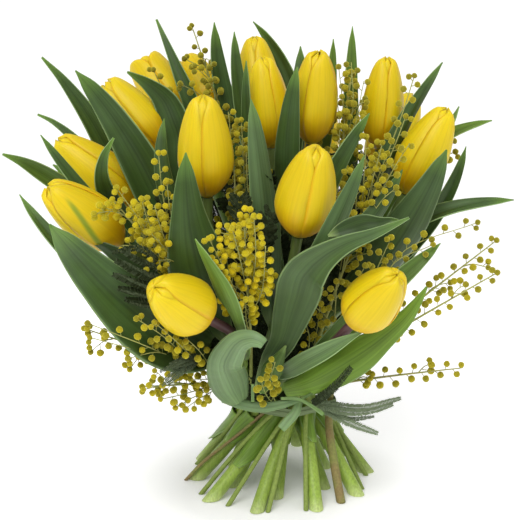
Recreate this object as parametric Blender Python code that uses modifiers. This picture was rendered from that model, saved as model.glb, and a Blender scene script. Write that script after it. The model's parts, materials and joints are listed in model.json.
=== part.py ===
"""Hand-tied bunch of yellow tulips with mimosa sprays, standing on its own cut stem ends.

The stems are laid in a spiral, cross at a tie and splay out below it. Metres, +Z up, the floor at Z = 0,
the middle stem's cut end at the origin and the front of the bunch towards -Y.
"""

import math
import random

import bmesh
import bpy
import numpy as np
from mathutils import Vector
from mathutils.bvhtree import BVHTree

# Driving dimensions of the bunch
TIE_HEIGHT = 0.058
TIE_BAND_HEIGHT = 0.006
TIE_BAND_THICKNESS = 0.0016
TIE_SIDES = 18
SLANT = 1.05
OUTER_FOOT_RADIUS = 0.059
INNER_FOOT_RADIUS = 0.035
OUTER_TIE_RADIUS = 0.027
INNER_TIE_RADIUS = 0.014
SPRAY_TIE_RADIUS = 0.031
TIE_ROOM = 0.029
SPIRAL_ABOVE_TIE = math.radians(72)
SPIRAL_BELOW_TIE = math.radians(52)
FLOOR_STEP = 0.010
GAP = 0.0006
BLOOM_GAP = 0.0005
CLEARANCE = 0.0003
BLOOM_CLEARANCE = 0.0014

# Tulip stems, leaves and petals
STEM_FOOT_R = 0.0047
STEM_NECK_R = 0.0031
STEM_POINTS = 11
STEM_SIDES_RESOLUTION = 1
SPRAY_SIDES_RESOLUTION = 0
PATH_TOLERANCE = 0.0003
LEAF_THICKNESS = 0.0008
LEAF_TIP_HALF_WIDTH = 0.0009
LEAF_ROWS = (0.0, 0.2, 0.46, 0.75, 1.0)
LEAF_COLUMNS = (-1.0, 0.0, 1.0)
NARROW_LEAF = 0.0145
FROND_ROWS = (0.0, 0.3, 0.65, 1.0)
LEAF_CLEARANCE = 0.0005
LEAF_ROOT_LOW = 0.064
LEAF_ROOT_HIGH = 0.175
ROOT_STEP = 0.011
MOST_LEAVES_ON_A_STEM = 4
PETAL_THICKNESS = 0.0009
PETAL_LAYER_STEP = 0.0019
PETAL_EDGE_DROP = 0.0006
PETAL_HALF_ANGLE = math.radians(57)
PETAL_FOOT = 0.0014
RECEPTACLE_R = 0.0056

# Mimosa
SPRAY_FOOT_R = 0.0016
SPRAY_TIP_R = 0.0008
SPRAY_ROOM = 0.0034
BALL_R = 0.0022
TWIG_R = 0.0006
TWIG_LENGTH = 0.019
TWIGS = 3
TWIG_SUNK = 0.0012
TWIG_SPREAD = math.radians(52)
FIRST_TWIG = 0.66
GOLDEN_ANGLE = math.radians(137.5)

# Each bloom: where it sits on its stem, where its petals end, its widest radius, the stem's ring.
TULIPS = {
    "01": ((-0.066, 0.045, 0.238), (-0.096, 0.075, 0.278), 0.0150, "outer"),
    "02": ((-0.042, 0.058, 0.236), (-0.066, 0.088, 0.273), 0.0145, "inner"),
    "03": ((-0.076, 0.008, 0.222), (-0.113, 0.020, 0.266), 0.0160, "outer"),
    "04": ((-0.045, -0.042, 0.206), (-0.047, -0.047, 0.273), 0.0172, "inner"),
    "05": ((-0.089, -0.010, 0.191), (-0.139, -0.008, 0.232), 0.0160, "outer"),
    "06": ((-0.099, -0.045, 0.176), (-0.144, -0.060, 0.218), 0.0165, "outer"),
    "07": ((-0.041, -0.082, 0.137), (-0.076, -0.120, 0.172), 0.0170, "outer"),
    "08": ((-0.005, 0.004, 0.226), (-0.011, 0.006, 0.286), 0.0145, "middle"),
    "09": ((0.020, -0.006, 0.231), (0.025, -0.008, 0.293), 0.0148, "inner"),
    "10": ((0.011, -0.070, 0.188), (0.022, -0.084, 0.250), 0.0188, "inner"),
    "11": ((0.065, 0.014, 0.222), (0.069, 0.018, 0.283), 0.0135, "inner"),
    "12": ((0.080, -0.010, 0.199), (0.107, -0.006, 0.255), 0.0145, "outer"),
    "13": ((0.043, -0.084, 0.135), (0.070, -0.120, 0.180), 0.0172, "outer"),
    "14": ((-0.011, 0.042, 0.232), (-0.016, 0.058, 0.289), 0.0145, "inner"),
    "15": ((0.064, 0.050, 0.196), (0.091, 0.073, 0.246), 0.0155, "outer"),
    "16": ((0.021, 0.080, 0.186), (0.031, 0.116, 0.236), 0.0160, "outer"),
    "17": ((-0.044, 0.080, 0.180), (-0.062, 0.114, 0.226), 0.0160, "outer"),
}

# Each leaf: near where it leaves its stem, a point on the way and its tip, then its width, the way its blade
# faces, and whether its edges rise to that side (1) or fold away from it (-1).
LEAVES = {
    "28": (
        (0.014, -0.034, 0.076), (0.056, -0.074, 0.116), (0.092, -0.070, 0.155),
        0.026, (0.3, -1.0, -0.3), -1,
    ),
    "27": (
        (-0.010, -0.036, 0.072), (-0.030, -0.090, 0.106), (-0.012, -0.104, 0.136),
        0.034, (-0.1, -1.0, 0.3), -1,
    ),
    "25": (
        (-0.003, -0.038, 0.083), (0.010, -0.108, 0.180), (0.075, -0.126, 0.216),
        0.029, (0.2, -1.0, -0.5), 1,
    ),
    "07": (
        (-0.030, -0.040, 0.083), (-0.098, -0.088, 0.153), (-0.141, -0.074, 0.197),
        0.040, (0.1, -1.0, 0.5), 1,
    ),
    "16": (
        (-0.003, -0.034, 0.105), (-0.010, -0.054, 0.213), (-0.018, -0.038, 0.267),
        0.021, (0.4, -1.0, 0.1), -1,
    ),
    "12": (
        (-0.037, -0.038, 0.110), (-0.058, -0.082, 0.205), (-0.055, -0.078, 0.245),
        0.027, (0.0, -1.0, 0.1), -1,
    ),
    "03": (
        (-0.041, -0.022, 0.131), (-0.091, -0.024, 0.231), (-0.128, -0.014, 0.280),
        0.026, (-0.2, -1.0, 0.3), 1,
    ),
    "09": (
        (-0.035, -0.006, 0.147), (-0.076, -0.006, 0.250), (-0.097, 0.008, 0.274),
        0.026, (0.1, -1.0, 0.4), 1,
    ),
    "02": (
        (-0.048, -0.005, 0.126), (-0.110, 0.004, 0.237), (-0.153, 0.016, 0.284),
        0.021, (-0.2, -1.0, 0.3), 1,
    ),
    "17": (
        (0.006, -0.015, 0.163), (0.005, -0.028, 0.248), (0.011, -0.022, 0.284),
        0.018, (-0.3, -1.0, 0.1), -1,
    ),
    "21": (
        (0.008, -0.042, 0.131), (0.034, -0.096, 0.213), (0.049, -0.092, 0.245),
        0.017, (0.3, -1.0, 0.1), -1,
    ),
    "23": (
        (0.032, -0.034, 0.112), (0.088, -0.042, 0.200), (0.104, -0.034, 0.234),
        0.028, (0.3, -1.0, 0.1), -1,
    ),
    "26": (
        (-0.017, -0.040, 0.089), (-0.035, -0.098, 0.156), (-0.046, -0.104, 0.194),
        0.018, (-0.6, -1.0, 0.1), -1,
    ),
    "24": (
        (0.036, -0.028, 0.116), (0.110, -0.032, 0.194), (0.144, -0.026, 0.203),
        0.018, (-0.2, -0.6, 1.0), 1,
    ),
    "19": (
        (0.030, -0.015, 0.136), (0.079, -0.014, 0.229), (0.100, 0.000, 0.286),
        0.017, (0.2, -1.0, 0.1), -1,
    ),
    "20": (
        (0.016, -0.032, 0.158), (0.040, -0.052, 0.238), (0.055, -0.046, 0.260),
        0.016, (0.5, -1.0, 0.3), 1,
    ),
    "01": (
        (-0.083, -0.012, 0.154), (-0.140, -0.006, 0.212), (-0.177, -0.012, 0.225),
        0.018, (0.3, -0.8, 1.0), 1,
    ),
    "08": (
        (-0.057, -0.040, 0.117), (-0.107, -0.062, 0.212), (-0.103, -0.044, 0.244),
        0.016, (-0.3, -1.0, 0.0), -1,
    ),
    "06": (
        (-0.057, -0.038, 0.110), (-0.121, -0.060, 0.176), (-0.158, -0.052, 0.210),
        0.016, (0.4, -1.0, 0.6), 1,
    ),
    "05": (
        (-0.064, -0.020, 0.131), (-0.129, -0.024, 0.212), (-0.150, -0.024, 0.240),
        0.012, (0.4, -1.0, 0.4), 1,
    ),
    "04": (
        (-0.058, 0.005, 0.136), (-0.129, 0.022, 0.221), (-0.157, 0.028, 0.241),
        0.016, (0.2, -1.0, 0.5), 1,
    ),
    "11": (
        (-0.047, -0.030, 0.154), (-0.067, -0.044, 0.230), (-0.075, -0.040, 0.255),
        0.014, (0.2, -1.0, 0.1), -1,
    ),
    "31": (
        (0.029, -0.030, 0.134), (0.058, -0.054, 0.207), (0.075, -0.044, 0.226),
        0.018, (0.4, -1.0, 0.2), -1,
    ),
    "32": (
        (0.036, -0.022, 0.121), (0.103, -0.024, 0.205), (0.116, -0.020, 0.238),
        0.015, (0.3, -1.0, 0.2), 1,
    ),
    "22": (
        (0.039, -0.010, 0.148), (0.110, 0.002, 0.239), (0.138, 0.006, 0.247),
        0.016, (-0.2, -0.8, 1.0), 1,
    ),
    "30": (
        (0.020, -0.034, 0.095), (0.078, -0.058, 0.160), (0.100, -0.054, 0.179),
        0.016, (0.1, -1.0, 0.5), 1,
    ),
    "29": (
        (0.007, -0.038, 0.083), (0.028, -0.076, 0.115), (0.050, -0.096, 0.138),
        0.012, (0.2, -1.0, 0.4), 1,
    ),
    "13": (
        (-0.019, 0.008, 0.163), (-0.037, 0.036, 0.256), (-0.042, 0.042, 0.300),
        0.017, (0.3, -1.0, 0.2), 1,
    ),
    "33": (
        (-0.016, 0.005, 0.164), (-0.025, 0.028, 0.252), (-0.029, 0.036, 0.295),
        0.013, (0.2, -1.0, 0.1), 1,
    ),
    "10": (
        (-0.035, 0.020, 0.173), (-0.065, 0.048, 0.257), (-0.080, 0.062, 0.298),
        0.014, (0.2, -1.0, 0.2), 1,
    ),
    "14": (
        (0.001, 0.028, 0.184), (0.006, 0.064, 0.262), (-0.017, 0.076, 0.294),
        0.014, (-0.5, -1.0, 0.0), 1,
    ),
    "15": (
        (-0.011, -0.010, 0.168), (-0.020, -0.012, 0.248), (-0.021, -0.008, 0.285),
        0.011, (-0.5, -1.0, 0.1), 1,
    ),
    "18": (
        (0.015, 0.005, 0.170), (0.033, 0.028, 0.256), (0.035, 0.032, 0.291),
        0.011, (0.1, -1.0, 0.1), 1,
    ),
    "34": (
        (0.030, 0.000, 0.165), (0.050, 0.024, 0.256), (0.046, 0.032, 0.298),
        0.013, (0.2, -1.0, 0.1), 1,
    ),
    "35": (
        (0.040, 0.030, 0.130), (0.092, 0.050, 0.200), (0.122, 0.058, 0.236),
        0.022, (1.0, 0.8, -0.3), -1,
    ),
    "36": (
        (0.030, 0.040, 0.110), (0.070, 0.092, 0.180), (0.086, 0.112, 0.226),
        0.028, (0.7, 1.0, -0.2), -1,
    ),
    "37": (
        (0.010, 0.045, 0.100), (0.008, 0.104, 0.176), (0.002, 0.122, 0.232),
        0.030, (0.1, 1.0, -0.2), -1,
    ),
    "38": (
        (-0.030, 0.040, 0.110), (-0.064, 0.086, 0.180), (-0.086, 0.104, 0.226),
        0.022, (-0.4, 1.0, -0.2), -1,
    ),
    "39": (
        (-0.040, 0.040, 0.100), (-0.088, 0.072, 0.150), (-0.128, 0.084, 0.190),
        0.030, (-0.6, 1.0, 0.3), -1,
    ),
    "40": (
        (-0.050, 0.020, 0.120), (-0.112, 0.040, 0.180), (-0.150, 0.048, 0.204),
        0.024, (-0.6, 0.8, 0.6), -1,
    ),
    "41": (
        (0.030, 0.030, 0.080), (0.074, 0.064, 0.130), (0.112, 0.074, 0.168),
        0.028, (0.6, 1.0, 0.3), -1,
    ),
    "42": (
        (0.000, 0.040, 0.075), (0.006, 0.092, 0.120), (0.020, 0.120, 0.160),
        0.030, (0.1, 1.0, 0.2), -1,
    ),
    "43": (
        (0.005, 0.030, 0.170), (0.012, 0.064, 0.240), (0.014, 0.086, 0.276),
        0.018, (0.2, 1.0, 0.0), -1,
    ),
}

# Each mimosa spray: the point where its side twigs begin, and its tip.
SPRAYS = {
    "01": ((-0.029, 0.040, 0.222), (-0.057, 0.052, 0.296)),
    "02": ((-0.062, 0.040, 0.180), (-0.092, 0.062, 0.236)),
    "03": ((-0.056, -0.050, 0.141), (-0.102, -0.078, 0.214)),
    "04": ((-0.019, -0.020, 0.164), (-0.024, -0.028, 0.246)),
    "05": ((-0.011, -0.060, 0.124), (-0.022, -0.100, 0.205)),
    "06": ((0.034, 0.006, 0.190), (0.046, 0.006, 0.274)),
    "07": ((0.036, -0.040, 0.160), (0.066, -0.052, 0.236)),
    "08": ((0.042, -0.050, 0.124), (0.136, -0.044, 0.178)),
    "09": ((0.042, -0.055, 0.109), (0.133, -0.080, 0.168)),
    "10": ((0.034, -0.046, 0.080), (0.115, -0.066, 0.101)),
    "11": ((-0.048, -0.055, 0.109), (-0.121, -0.080, 0.132)),
    "12": ((-0.036, -0.048, 0.084), (-0.085, -0.092, 0.098)),
    "13": ((0.066, 0.040, 0.160), (0.112, 0.028, 0.226)),
    "14": ((0.004, 0.080, 0.160), (0.002, 0.112, 0.250)),
}

# Each feathery mimosa leaf: its spray, near where it leaves it, a point on the way and its tip,
# then its width and the way it faces.
FRONDS = {
    "01": (
        "10", (0.034, -0.044, 0.072), (0.002, -0.053, 0.067), (-0.032, -0.048, 0.068),
        0.009, (0.0, -1.0, 0.2),
    ),
    "02": (
        "10", (0.040, -0.048, 0.080), (0.062, -0.058, 0.073), (0.082, -0.060, 0.062),
        0.011, (0.0, -1.0, 0.6),
    ),
    "03": (
        "10", (0.036, -0.046, 0.076), (0.050, -0.062, 0.064), (0.062, -0.066, 0.045),
        0.010, (0.2, -1.0, 0.4),
    ),
    "04": (
        "12", (-0.034, -0.046, 0.082), (-0.058, -0.066, 0.100), (-0.076, -0.072, 0.120),
        0.012, (0.2, -1.0, 0.3),
    ),
    "05": (
        "11", (-0.060, -0.060, 0.112), (-0.092, -0.098, 0.140), (-0.118, -0.100, 0.160),
        0.013, (0.2, -1.0, 0.5),
    ),
}

# The closed bloom's outline: shares of its height, and its radius there as a share of its widest radius.
BLOOM_PROFILE = (
    (0.0, 0.16), (0.07, 0.50), (0.18, 0.80), (0.36, 1.0),
    (0.58, 0.95), (0.78, 0.72), (0.92, 0.44), (1.0, 0.26),
)


def unit(v):
    """The vector or vectors v at length 1."""
    v = np.asarray(v, float)
    return v / np.linalg.norm(v, axis=-1, keepdims=True)


def azimuth(point):
    return math.atan2(point[1], point[0])


def on_circle(radius, angle, z):
    return np.array([radius * math.cos(angle), radius * math.sin(angle), z])


def smooth_path(points, count):
    """count points at even steps along a smooth curve through points."""
    points = np.asarray(points, float)
    ends = np.vstack([2 * points[0] - points[1], points, 2 * points[-1] - points[-2]])
    t = np.linspace(0, 1, 12, endpoint=False)[:, None]
    runs = []
    for a, b, c, d in zip(ends, ends[1:], ends[2:], ends[3:]):
        square = 2 * a - 5 * b + 4 * c - d
        cube = 3 * b - a - 3 * c + d
        runs.append(0.5 * (2 * b + (c - a) * t + square * t**2 + cube * t**3))
    curve = np.vstack([*runs, points[-1:]])
    steps = np.concatenate([[0], np.cumsum(np.linalg.norm(np.diff(curve, axis=0), axis=1))])
    wanted = np.linspace(0, steps[-1], count)
    return np.stack([np.interp(wanted, steps, curve[:, k]) for k in range(3)], axis=1)


def first_paths():
    """A first path and the radii for every tulip and mimosa stem, laid in a spiral through the tie."""
    paths, radii = {}, {}
    for ring, tie_r, foot_r in (
        ("outer", OUTER_TIE_RADIUS, OUTER_FOOT_RADIUS),
        ("inner", INNER_TIE_RADIUS, INNER_FOOT_RADIUS),
        ("middle", 0.0, 0.0),
    ):
        members = sorted((azimuth(t[0]), name) for name, t in TULIPS.items() if t[3] == ring)
        shift = np.mean([a - 2 * math.pi * k / len(members) for k, (a, _) in enumerate(members)])
        for k, (_, name) in enumerate(members):
            base, tip = (np.array(p) for p in TULIPS[name][:2])
            axis = unit(tip - base)
            turn = shift + 2 * math.pi * k / len(members) - SPIRAL_ABOVE_TIE
            foot = on_circle(foot_r, turn - SPIRAL_BELOW_TIE, 0.0)
            tie = on_circle(tie_r, turn, TIE_HEIGHT)
            end = base - BLOOM_GAP * axis
            path = smooth_path([foot, tie, end - 0.03 * axis, end], STEM_POINTS)
            path[-2] = end - np.linalg.norm(path[-1] - path[-2]) * axis
            paths["stem_" + name] = path
            radii["stem_" + name] = np.linspace(STEM_FOOT_R, STEM_NECK_R, STEM_POINTS)
    members = sorted((azimuth(s[0]), name) for name, s in SPRAYS.items())
    for k, (_, name) in enumerate(members):
        start, tip = (np.array(p) for p in SPRAYS[name])
        turn = -math.pi + 2 * math.pi * k / len(members) - SPIRAL_ABOVE_TIE
        foot = on_circle(OUTER_FOOT_RADIUS, turn - SPIRAL_BELOW_TIE, 0.0)
        tie = on_circle(SPRAY_TIE_RADIUS, turn, TIE_HEIGHT)
        paths["spray_" + name] = smooth_path([foot, tie, start, tip], STEM_POINTS)
        radii["spray_" + name] = np.linspace(SPRAY_FOOT_R, SPRAY_TIP_R, STEM_POINTS)
    return paths, radii


def bloom_balls():
    """Balls that fill each bloom, which the stems of the others are pushed out of."""
    centres, sizes, owners = [], [], []
    for name, (base, tip, radius, _) in TULIPS.items():
        for share, size in ((0.12, 0.66), (0.3, 0.98), (0.5, 1.0), (0.7, 0.88), (0.9, 0.6)):
            centres.append(np.array(base) * (1 - share) + np.array(tip) * share)
            sizes.append(radius * size)
            owners.append("stem_" + name)
    return np.array(centres), np.array(sizes), owners


def closest_shares(start_a, run_a, start_b, run_b):
    """How far along each segment, from 0 to 1, each pair of segments lies closest."""
    between = start_a - start_b
    aa, bb, ab = (run_a**2).sum(-1), (run_b**2).sum(-1), (run_a * run_b).sum(-1)
    a_gap, b_gap = (run_a * between).sum(-1), (run_b * between).sum(-1)
    s = np.clip((ab * b_gap - a_gap * bb) / np.maximum(aa * bb - ab**2, 1e-14), 0, 1)
    t = np.clip((ab * s + b_gap) / bb, 0, 1)
    s = np.clip((ab * t - a_gap) / aa, 0, 1)
    return s, t


def settle(paths, radii, rounds=420, loose_rounds=120):
    """Draws the stems together at the tie and pushes them apart wherever they touch, as a hand binds them."""
    names = list(paths)
    count = STEM_POINTS
    points = np.vstack([paths[n] for n in names])
    start_points = points.copy()
    room = np.concatenate([radii[n] for n in names])
    spray = np.repeat([n.startswith("spray") for n in names], count)
    place = np.tile(np.arange(count), len(names))
    room = np.where(spray & (place >= count - 4), SPRAY_ROOM, room)
    pinned = place == count - 1
    pinned |= ~spray & (place == count - 2)
    middle = "stem_" + next(n for n, t in TULIPS.items() if t[3] == "middle")
    pinned |= (np.repeat(np.array(names) == middle, count)) & (place <= 1)
    free = (~pinned).astype(float)
    first = np.flatnonzero(place < count - 1)
    owner = first // count
    pair_a, pair_b = np.triu_indices(len(first), 1)
    apart = owner[pair_a] != owner[pair_b]
    pair_a, pair_b = first[pair_a[apart]], first[pair_b[apart]]
    balls, ball_r, ball_owner = bloom_balls()
    ball_index = np.array([names.index(o) for o in ball_owner])
    seg, ball = np.meshgrid(first, np.arange(len(balls)), indexing="ij")
    other = (seg // count) != ball_index[ball]
    seg, ball = seg[other], ball[other]
    inner = np.flatnonzero((place > 0) & (place < count - 1))
    feet = np.flatnonzero(place == 0)
    for k in range(rounds):
        near_tie = np.clip(1 - np.abs(points[:, 2] - TIE_HEIGHT) / 0.030, 0, 1) * free
        pull = np.where(np.hypot(points[:, 0], points[:, 1]) > TIE_ROOM, 0.080, 0.035)
        if k >= rounds - loose_rounds:
            pull = 0.004
        points[:, :2] *= (1 - pull * near_tie)[:, None]
        bend = 0.5 * (points[inner - 1] + points[inner + 1]) - points[inner]
        strength = 0.22 if k < rounds - loose_rounds else 0.04
        points[inner] += strength * bend * free[inner][:, None]
        points[feet, :2] += 0.05 * (start_points[feet, :2] - points[feet, :2])
        push = np.zeros_like(points)
        hits = np.zeros(len(points))
        a, b = pair_a, pair_b
        run_a, run_b = points[a + 1] - points[a], points[b + 1] - points[b]
        s, t = closest_shares(points[a], run_a, points[b], run_b)
        gap = points[a] + run_a * s[:, None] - points[b] - run_b * t[:, None]
        far = np.linalg.norm(gap, axis=1)
        need = room[a] * (1 - s) + room[a + 1] * s + room[b] * (1 - t) + room[b + 1] * t + GAP
        hit = np.flatnonzero(far < need)
        for index, share, side in ((a, s, 1.0), (b, t, -1.0)):
            move = side * gap[hit] / np.maximum(far[hit], 1e-9)[:, None] * (0.5 * (need - far)[hit])[:, None]
            for step, weight in ((0, 1 - share[hit]), (1, share[hit])):
                np.add.at(push, index[hit] + step, move * weight[:, None])
                np.add.at(hits, index[hit] + step, weight)
        run = points[seg + 1] - points[seg]
        s = np.clip(((balls[ball] - points[seg]) * run).sum(-1) / (run**2).sum(-1), 0, 1)
        gap = points[seg] + run * s[:, None] - balls[ball]
        far = np.linalg.norm(gap, axis=1)
        need = room[seg] + ball_r[ball] + 2 * GAP
        hit = np.flatnonzero(far < need)
        move = gap[hit] / np.maximum(far[hit], 1e-9)[:, None] * (need - far)[hit][:, None]
        for step, weight in ((0, 1 - s[hit]), (1, s[hit])):
            np.add.at(push, seg[hit] + step, move * weight[:, None])
            np.add.at(hits, seg[hit] + step, weight)
        points += 1.3 * push / np.maximum(hits, 1)[:, None] * free[:, None]
        points[feet, 2] = 0.0
    return {n: points[k * count : (k + 1) * count] for k, n in enumerate(names)}


def leaf_shape(root, via, tip, width, facing, cup):
    """A function of (s, t) that gives the blade's point: s from edge to edge, -1 to 1, t from root to tip."""
    root, via, tip, facing = (np.asarray(p, float) for p in (root, via, tip, facing))
    middle = np.linalg.norm(via - root) / (np.linalg.norm(via - root) + np.linalg.norm(tip - via))
    control = (via - (1 - middle) ** 2 * root - middle**2 * tip) / (2 * middle * (1 - middle))

    def point(s, t):
        spine = (1 - t) ** 2 * root + 2 * t * (1 - t) * control + t**2 * tip
        along = unit(2 * (1 - t) * (control - root) + 2 * t * (tip - control))
        side = unit(np.cross(along, facing))
        face = np.cross(side, along)
        half = max(0.5 * width * (t + 0.01) ** 0.6 * (1.02 - t) ** 0.8 / 0.401, LEAF_TIP_HALF_WIDTH)
        lift = math.radians((22 + 40 * (1 - t) ** 4) * min(1.0, 4 * (1 - t)))
        return spine + s * half * math.cos(lift) * side + cup * abs(s) * half * math.sin(lift) * face

    return point


def sheet_mesh(point, columns, rows):
    """A thin grid through point(s, t), from Blender's grid primitive."""
    bm = bmesh.new()
    bmesh.ops.create_grid(bm, x_segments=len(columns) - 1, y_segments=len(rows) - 1, size=1.0)
    xs = sorted({round(v.co.x, 5) for v in bm.verts})
    ys = sorted({round(v.co.y, 5) for v in bm.verts})
    for v in bm.verts:
        s = columns[xs.index(round(v.co.x, 5))]
        t = rows[ys.index(round(v.co.y, 5))]
        v.co = Vector(point(s, t))
    mesh = bpy.data.meshes.new("sheet")
    bmesh.ops.triangulate(bm, faces=bm.faces, quad_method="FIXED")
    bm.to_mesh(mesh)
    bm.free()
    return mesh


def new_object(name, mesh):
    obj = bpy.data.objects.new(name, mesh)
    bpy.context.scene.collection.objects.link(obj)
    return obj


def evaluated_mesh(obj):
    graph = bpy.context.evaluated_depsgraph_get()
    return bpy.data.meshes.new_from_object(obj.evaluated_get(graph))


def thin_solid(name, point, columns, rows, thickness):
    """A blade: the grid through point(s, t) with a thickness."""
    obj = new_object(name, sheet_mesh(point, columns, rows))
    solid = obj.modifiers.new("thickness", "SOLIDIFY")
    solid.thickness = thickness
    solid.offset = 0.0
    return obj


def tube(name, path, radii, resolution):
    """A tube along path, as a mesh with closed ends."""
    curve = bpy.data.curves.new(name, "CURVE")
    curve.dimensions = "3D"
    curve.bevel_depth = 1.0
    curve.bevel_resolution = resolution
    curve.use_fill_caps = True
    spline = curve.splines.new("POLY")
    spline.points.add(len(path) - 1)
    for p, co, r in zip(spline.points, path, radii):
        p.co = (*co, 1.0)
        p.radius = r
    guide = new_object(name, curve)
    mesh = evaluated_mesh(guide)
    bpy.data.objects.remove(guide)
    bm = bmesh.new()
    bm.from_mesh(mesh)
    bmesh.ops.remove_doubles(bm, verts=bm.verts, dist=1e-6)
    bmesh.ops.recalc_face_normals(bm, faces=bm.faces)
    bm.to_mesh(mesh)
    bm.free()
    return new_object(name, mesh)


def needed(path, radii):
    """The path's points and radii without those that lie on a straight run between their neighbours."""
    kept, spans = {0, len(path) - 1}, [(0, len(path) - 1)]
    while spans:
        a, b = spans.pop()
        if b - a < 2:
            continue
        chord = unit(path[b] - path[a])
        off = path[a + 1 : b] - path[a]
        far = np.linalg.norm(off - np.outer(off @ chord, chord), axis=1)
        if far.max() > PATH_TOLERANCE:
            k = a + 1 + int(far.argmax())
            kept.add(k)
            spans += [(a, k), (k, b)]
    kept = sorted(kept)
    return path[kept], radii[kept]


def cut_level(obj, height):
    """Cuts the foot of a stem level at this height and closes the cut."""
    bm = bmesh.new()
    bm.from_mesh(obj.data)
    geometry = bm.verts[:] + bm.edges[:] + bm.faces[:]
    cut = bmesh.ops.bisect_plane(
        bm, geom=geometry, plane_co=(0, 0, height), plane_no=(0, 0, -1), clear_outer=True, dist=1e-7
    )
    edges = [g for g in cut["geom_cut"] if isinstance(g, bmesh.types.BMEdge)]
    bmesh.ops.contextual_create(bm, geom=edges)
    bmesh.ops.recalc_face_normals(bm, faces=bm.faces)
    bm.to_mesh(obj.data)
    bm.free()


def ball(name, centre, radius):
    bm = bmesh.new()
    bmesh.ops.create_icosphere(bm, subdivisions=1, radius=radius)
    bmesh.ops.translate(bm, verts=bm.verts, vec=Vector(centre))
    mesh = bpy.data.meshes.new(name)
    bm.to_mesh(mesh)
    bm.free()
    return new_object(name, mesh)


def fuse(name, body, additions, solver="EXACT"):
    """One solid from body and the additions, by one Boolean union on their collection."""
    group = bpy.data.collections.new(name + "_additions")
    bpy.context.scene.collection.children.link(group)
    for piece in additions:
        bpy.context.scene.collection.objects.unlink(piece)
        group.objects.link(piece)
    union = body.modifiers.new("union", "BOOLEAN")
    union.operation = "UNION"
    union.operand_type = "COLLECTION"
    union.collection = group
    union.solver = solver
    mesh = evaluated_mesh(body)
    for piece in [body, *additions]:
        bpy.data.objects.remove(piece)
    bpy.data.collections.remove(group)
    return new_object(name, mesh)


def tree_of(mesh):
    points = [v.co.copy() for v in mesh.vertices]
    tree = BVHTree.FromPolygons(points, [tuple(p.vertices) for p in mesh.polygons])
    array = np.array([tuple(p) for p in points])
    return tree, array.min(0), array.max(0)


class Obstacles:
    """What is already in place, by owner, so that the next piece can be bent clear of it."""

    def __init__(self):
        self.items = []

    def add(self, owner, mesh):
        self.items.append((owner, *tree_of(mesh)))

    def clear(self, mesh, owner):
        tree, low, high = tree_of(mesh)
        for other, other_tree, other_low, other_high in self.items:
            if other == owner or (low > other_high).any() or (high < other_low).any():
                continue
            if tree.overlap(other_tree):
                return False
        return True


def profile_radius(t):
    """The closed bloom's radius at a share t of its height, as a share of its widest radius."""
    heights, widths = zip(*BLOOM_PROFILE)
    return float(np.interp(t, heights, widths))


def petal_shape(length, radius, turn, inset, half_angle, reach):
    """A petal as a function of (s, t), round the bloom's own Z axis."""

    def point(s, t):
        taper = 1 - max(0.0, (t - 0.45) / 0.55) ** 2.6
        angle = turn + s * half_angle * max(taper, 0.22)
        least = 0.0014 + (1.1 * inset if t > 0.5 else 0.0)
        r = max(radius * profile_radius(t) - inset - PETAL_EDGE_DROP * abs(s) ** 3, least)
        z = PETAL_FOOT + (length * reach - PETAL_FOOT) * t + inset * (1 - t)
        return (r * math.cos(angle), r * math.sin(angle), z)

    return point


def bloom(name, base, tip, radius):
    """Three outer petals over three inner ones, round a small receptacle."""
    length = float(np.linalg.norm(np.subtract(tip, base)))
    outer_rows, outer_columns = (0.0, 0.20, 0.44, 0.76, 1.0), (-1.0, -0.36, 0.36, 1.0)
    inner_rows, inner_columns = (0.0, 0.44, 1.0), (-1.0, 0.0, 1.0)
    petals = []
    for k in range(3):
        turn = math.radians(120 * k)
        outer = petal_shape(length, radius, turn, 0.0, PETAL_HALF_ANGLE, 0.97 + 0.015 * k)
        petals.append(thin_solid(f"{name}_outer_{k}", outer, outer_columns, outer_rows, PETAL_THICKNESS))
        turn += math.radians(60)
        inner = petal_shape(length, radius, turn, PETAL_LAYER_STEP, 0.8 * PETAL_HALF_ANGLE, 0.94 - 0.012 * k)
        petals.append(thin_solid(f"{name}_inner_{k}", inner, inner_columns, inner_rows, PETAL_THICKNESS))
    bm = bmesh.new()
    bmesh.ops.create_cone(
        bm, cap_ends=True, segments=5, radius1=0.6 * RECEPTACLE_R, radius2=RECEPTACLE_R, depth=0.009
    )
    bmesh.ops.translate(bm, verts=bm.verts, vec=(0, 0, 0.0045))
    mesh = bpy.data.meshes.new(name + "_receptacle")
    bm.to_mesh(mesh)
    bm.free()
    obj = fuse(name, new_object(name + "_receptacle", mesh), petals)
    obj.rotation_mode = "QUATERNION"
    obj.rotation_quaternion = Vector(np.subtract(tip, base)).to_track_quat("Z", "Y")
    obj.location = base
    return obj


def bloom_hull(base, tip, radius):
    """A plain closed form just outside a bloom, for the clearance tests."""
    base, tip = np.array(base), np.array(tip)
    path = [base + (tip - base) * h for h, _ in BLOOM_PROFILE]
    return tube("hull", path, [radius * w + BLOOM_CLEARANCE for _, w in BLOOM_PROFILE], 3)


def nearest_on_path(path, point, low, high, taken=()):
    """The point of the path nearest to point, between two heights and clear of the heights already taken."""
    fine = smooth_path(path, 80)
    free = (fine[:, 2] > low) & (fine[:, 2] < high)
    for height in taken:
        free &= np.abs(fine[:, 2] - height) > ROOT_STEP
    fine = fine[free]
    distance = np.linalg.norm(fine - point, axis=1)
    return fine[distance.argmin()], distance.min()


def twists(point):
    """Whether the blade turns so sharply between two rows that it would fold through itself."""
    sides = [unit(np.subtract(point(1, t), point(-1, t))) for t in LEAF_ROWS]
    return any(float(a @ b) < 0.72 for a, b in zip(sides, sides[1:]))


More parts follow.
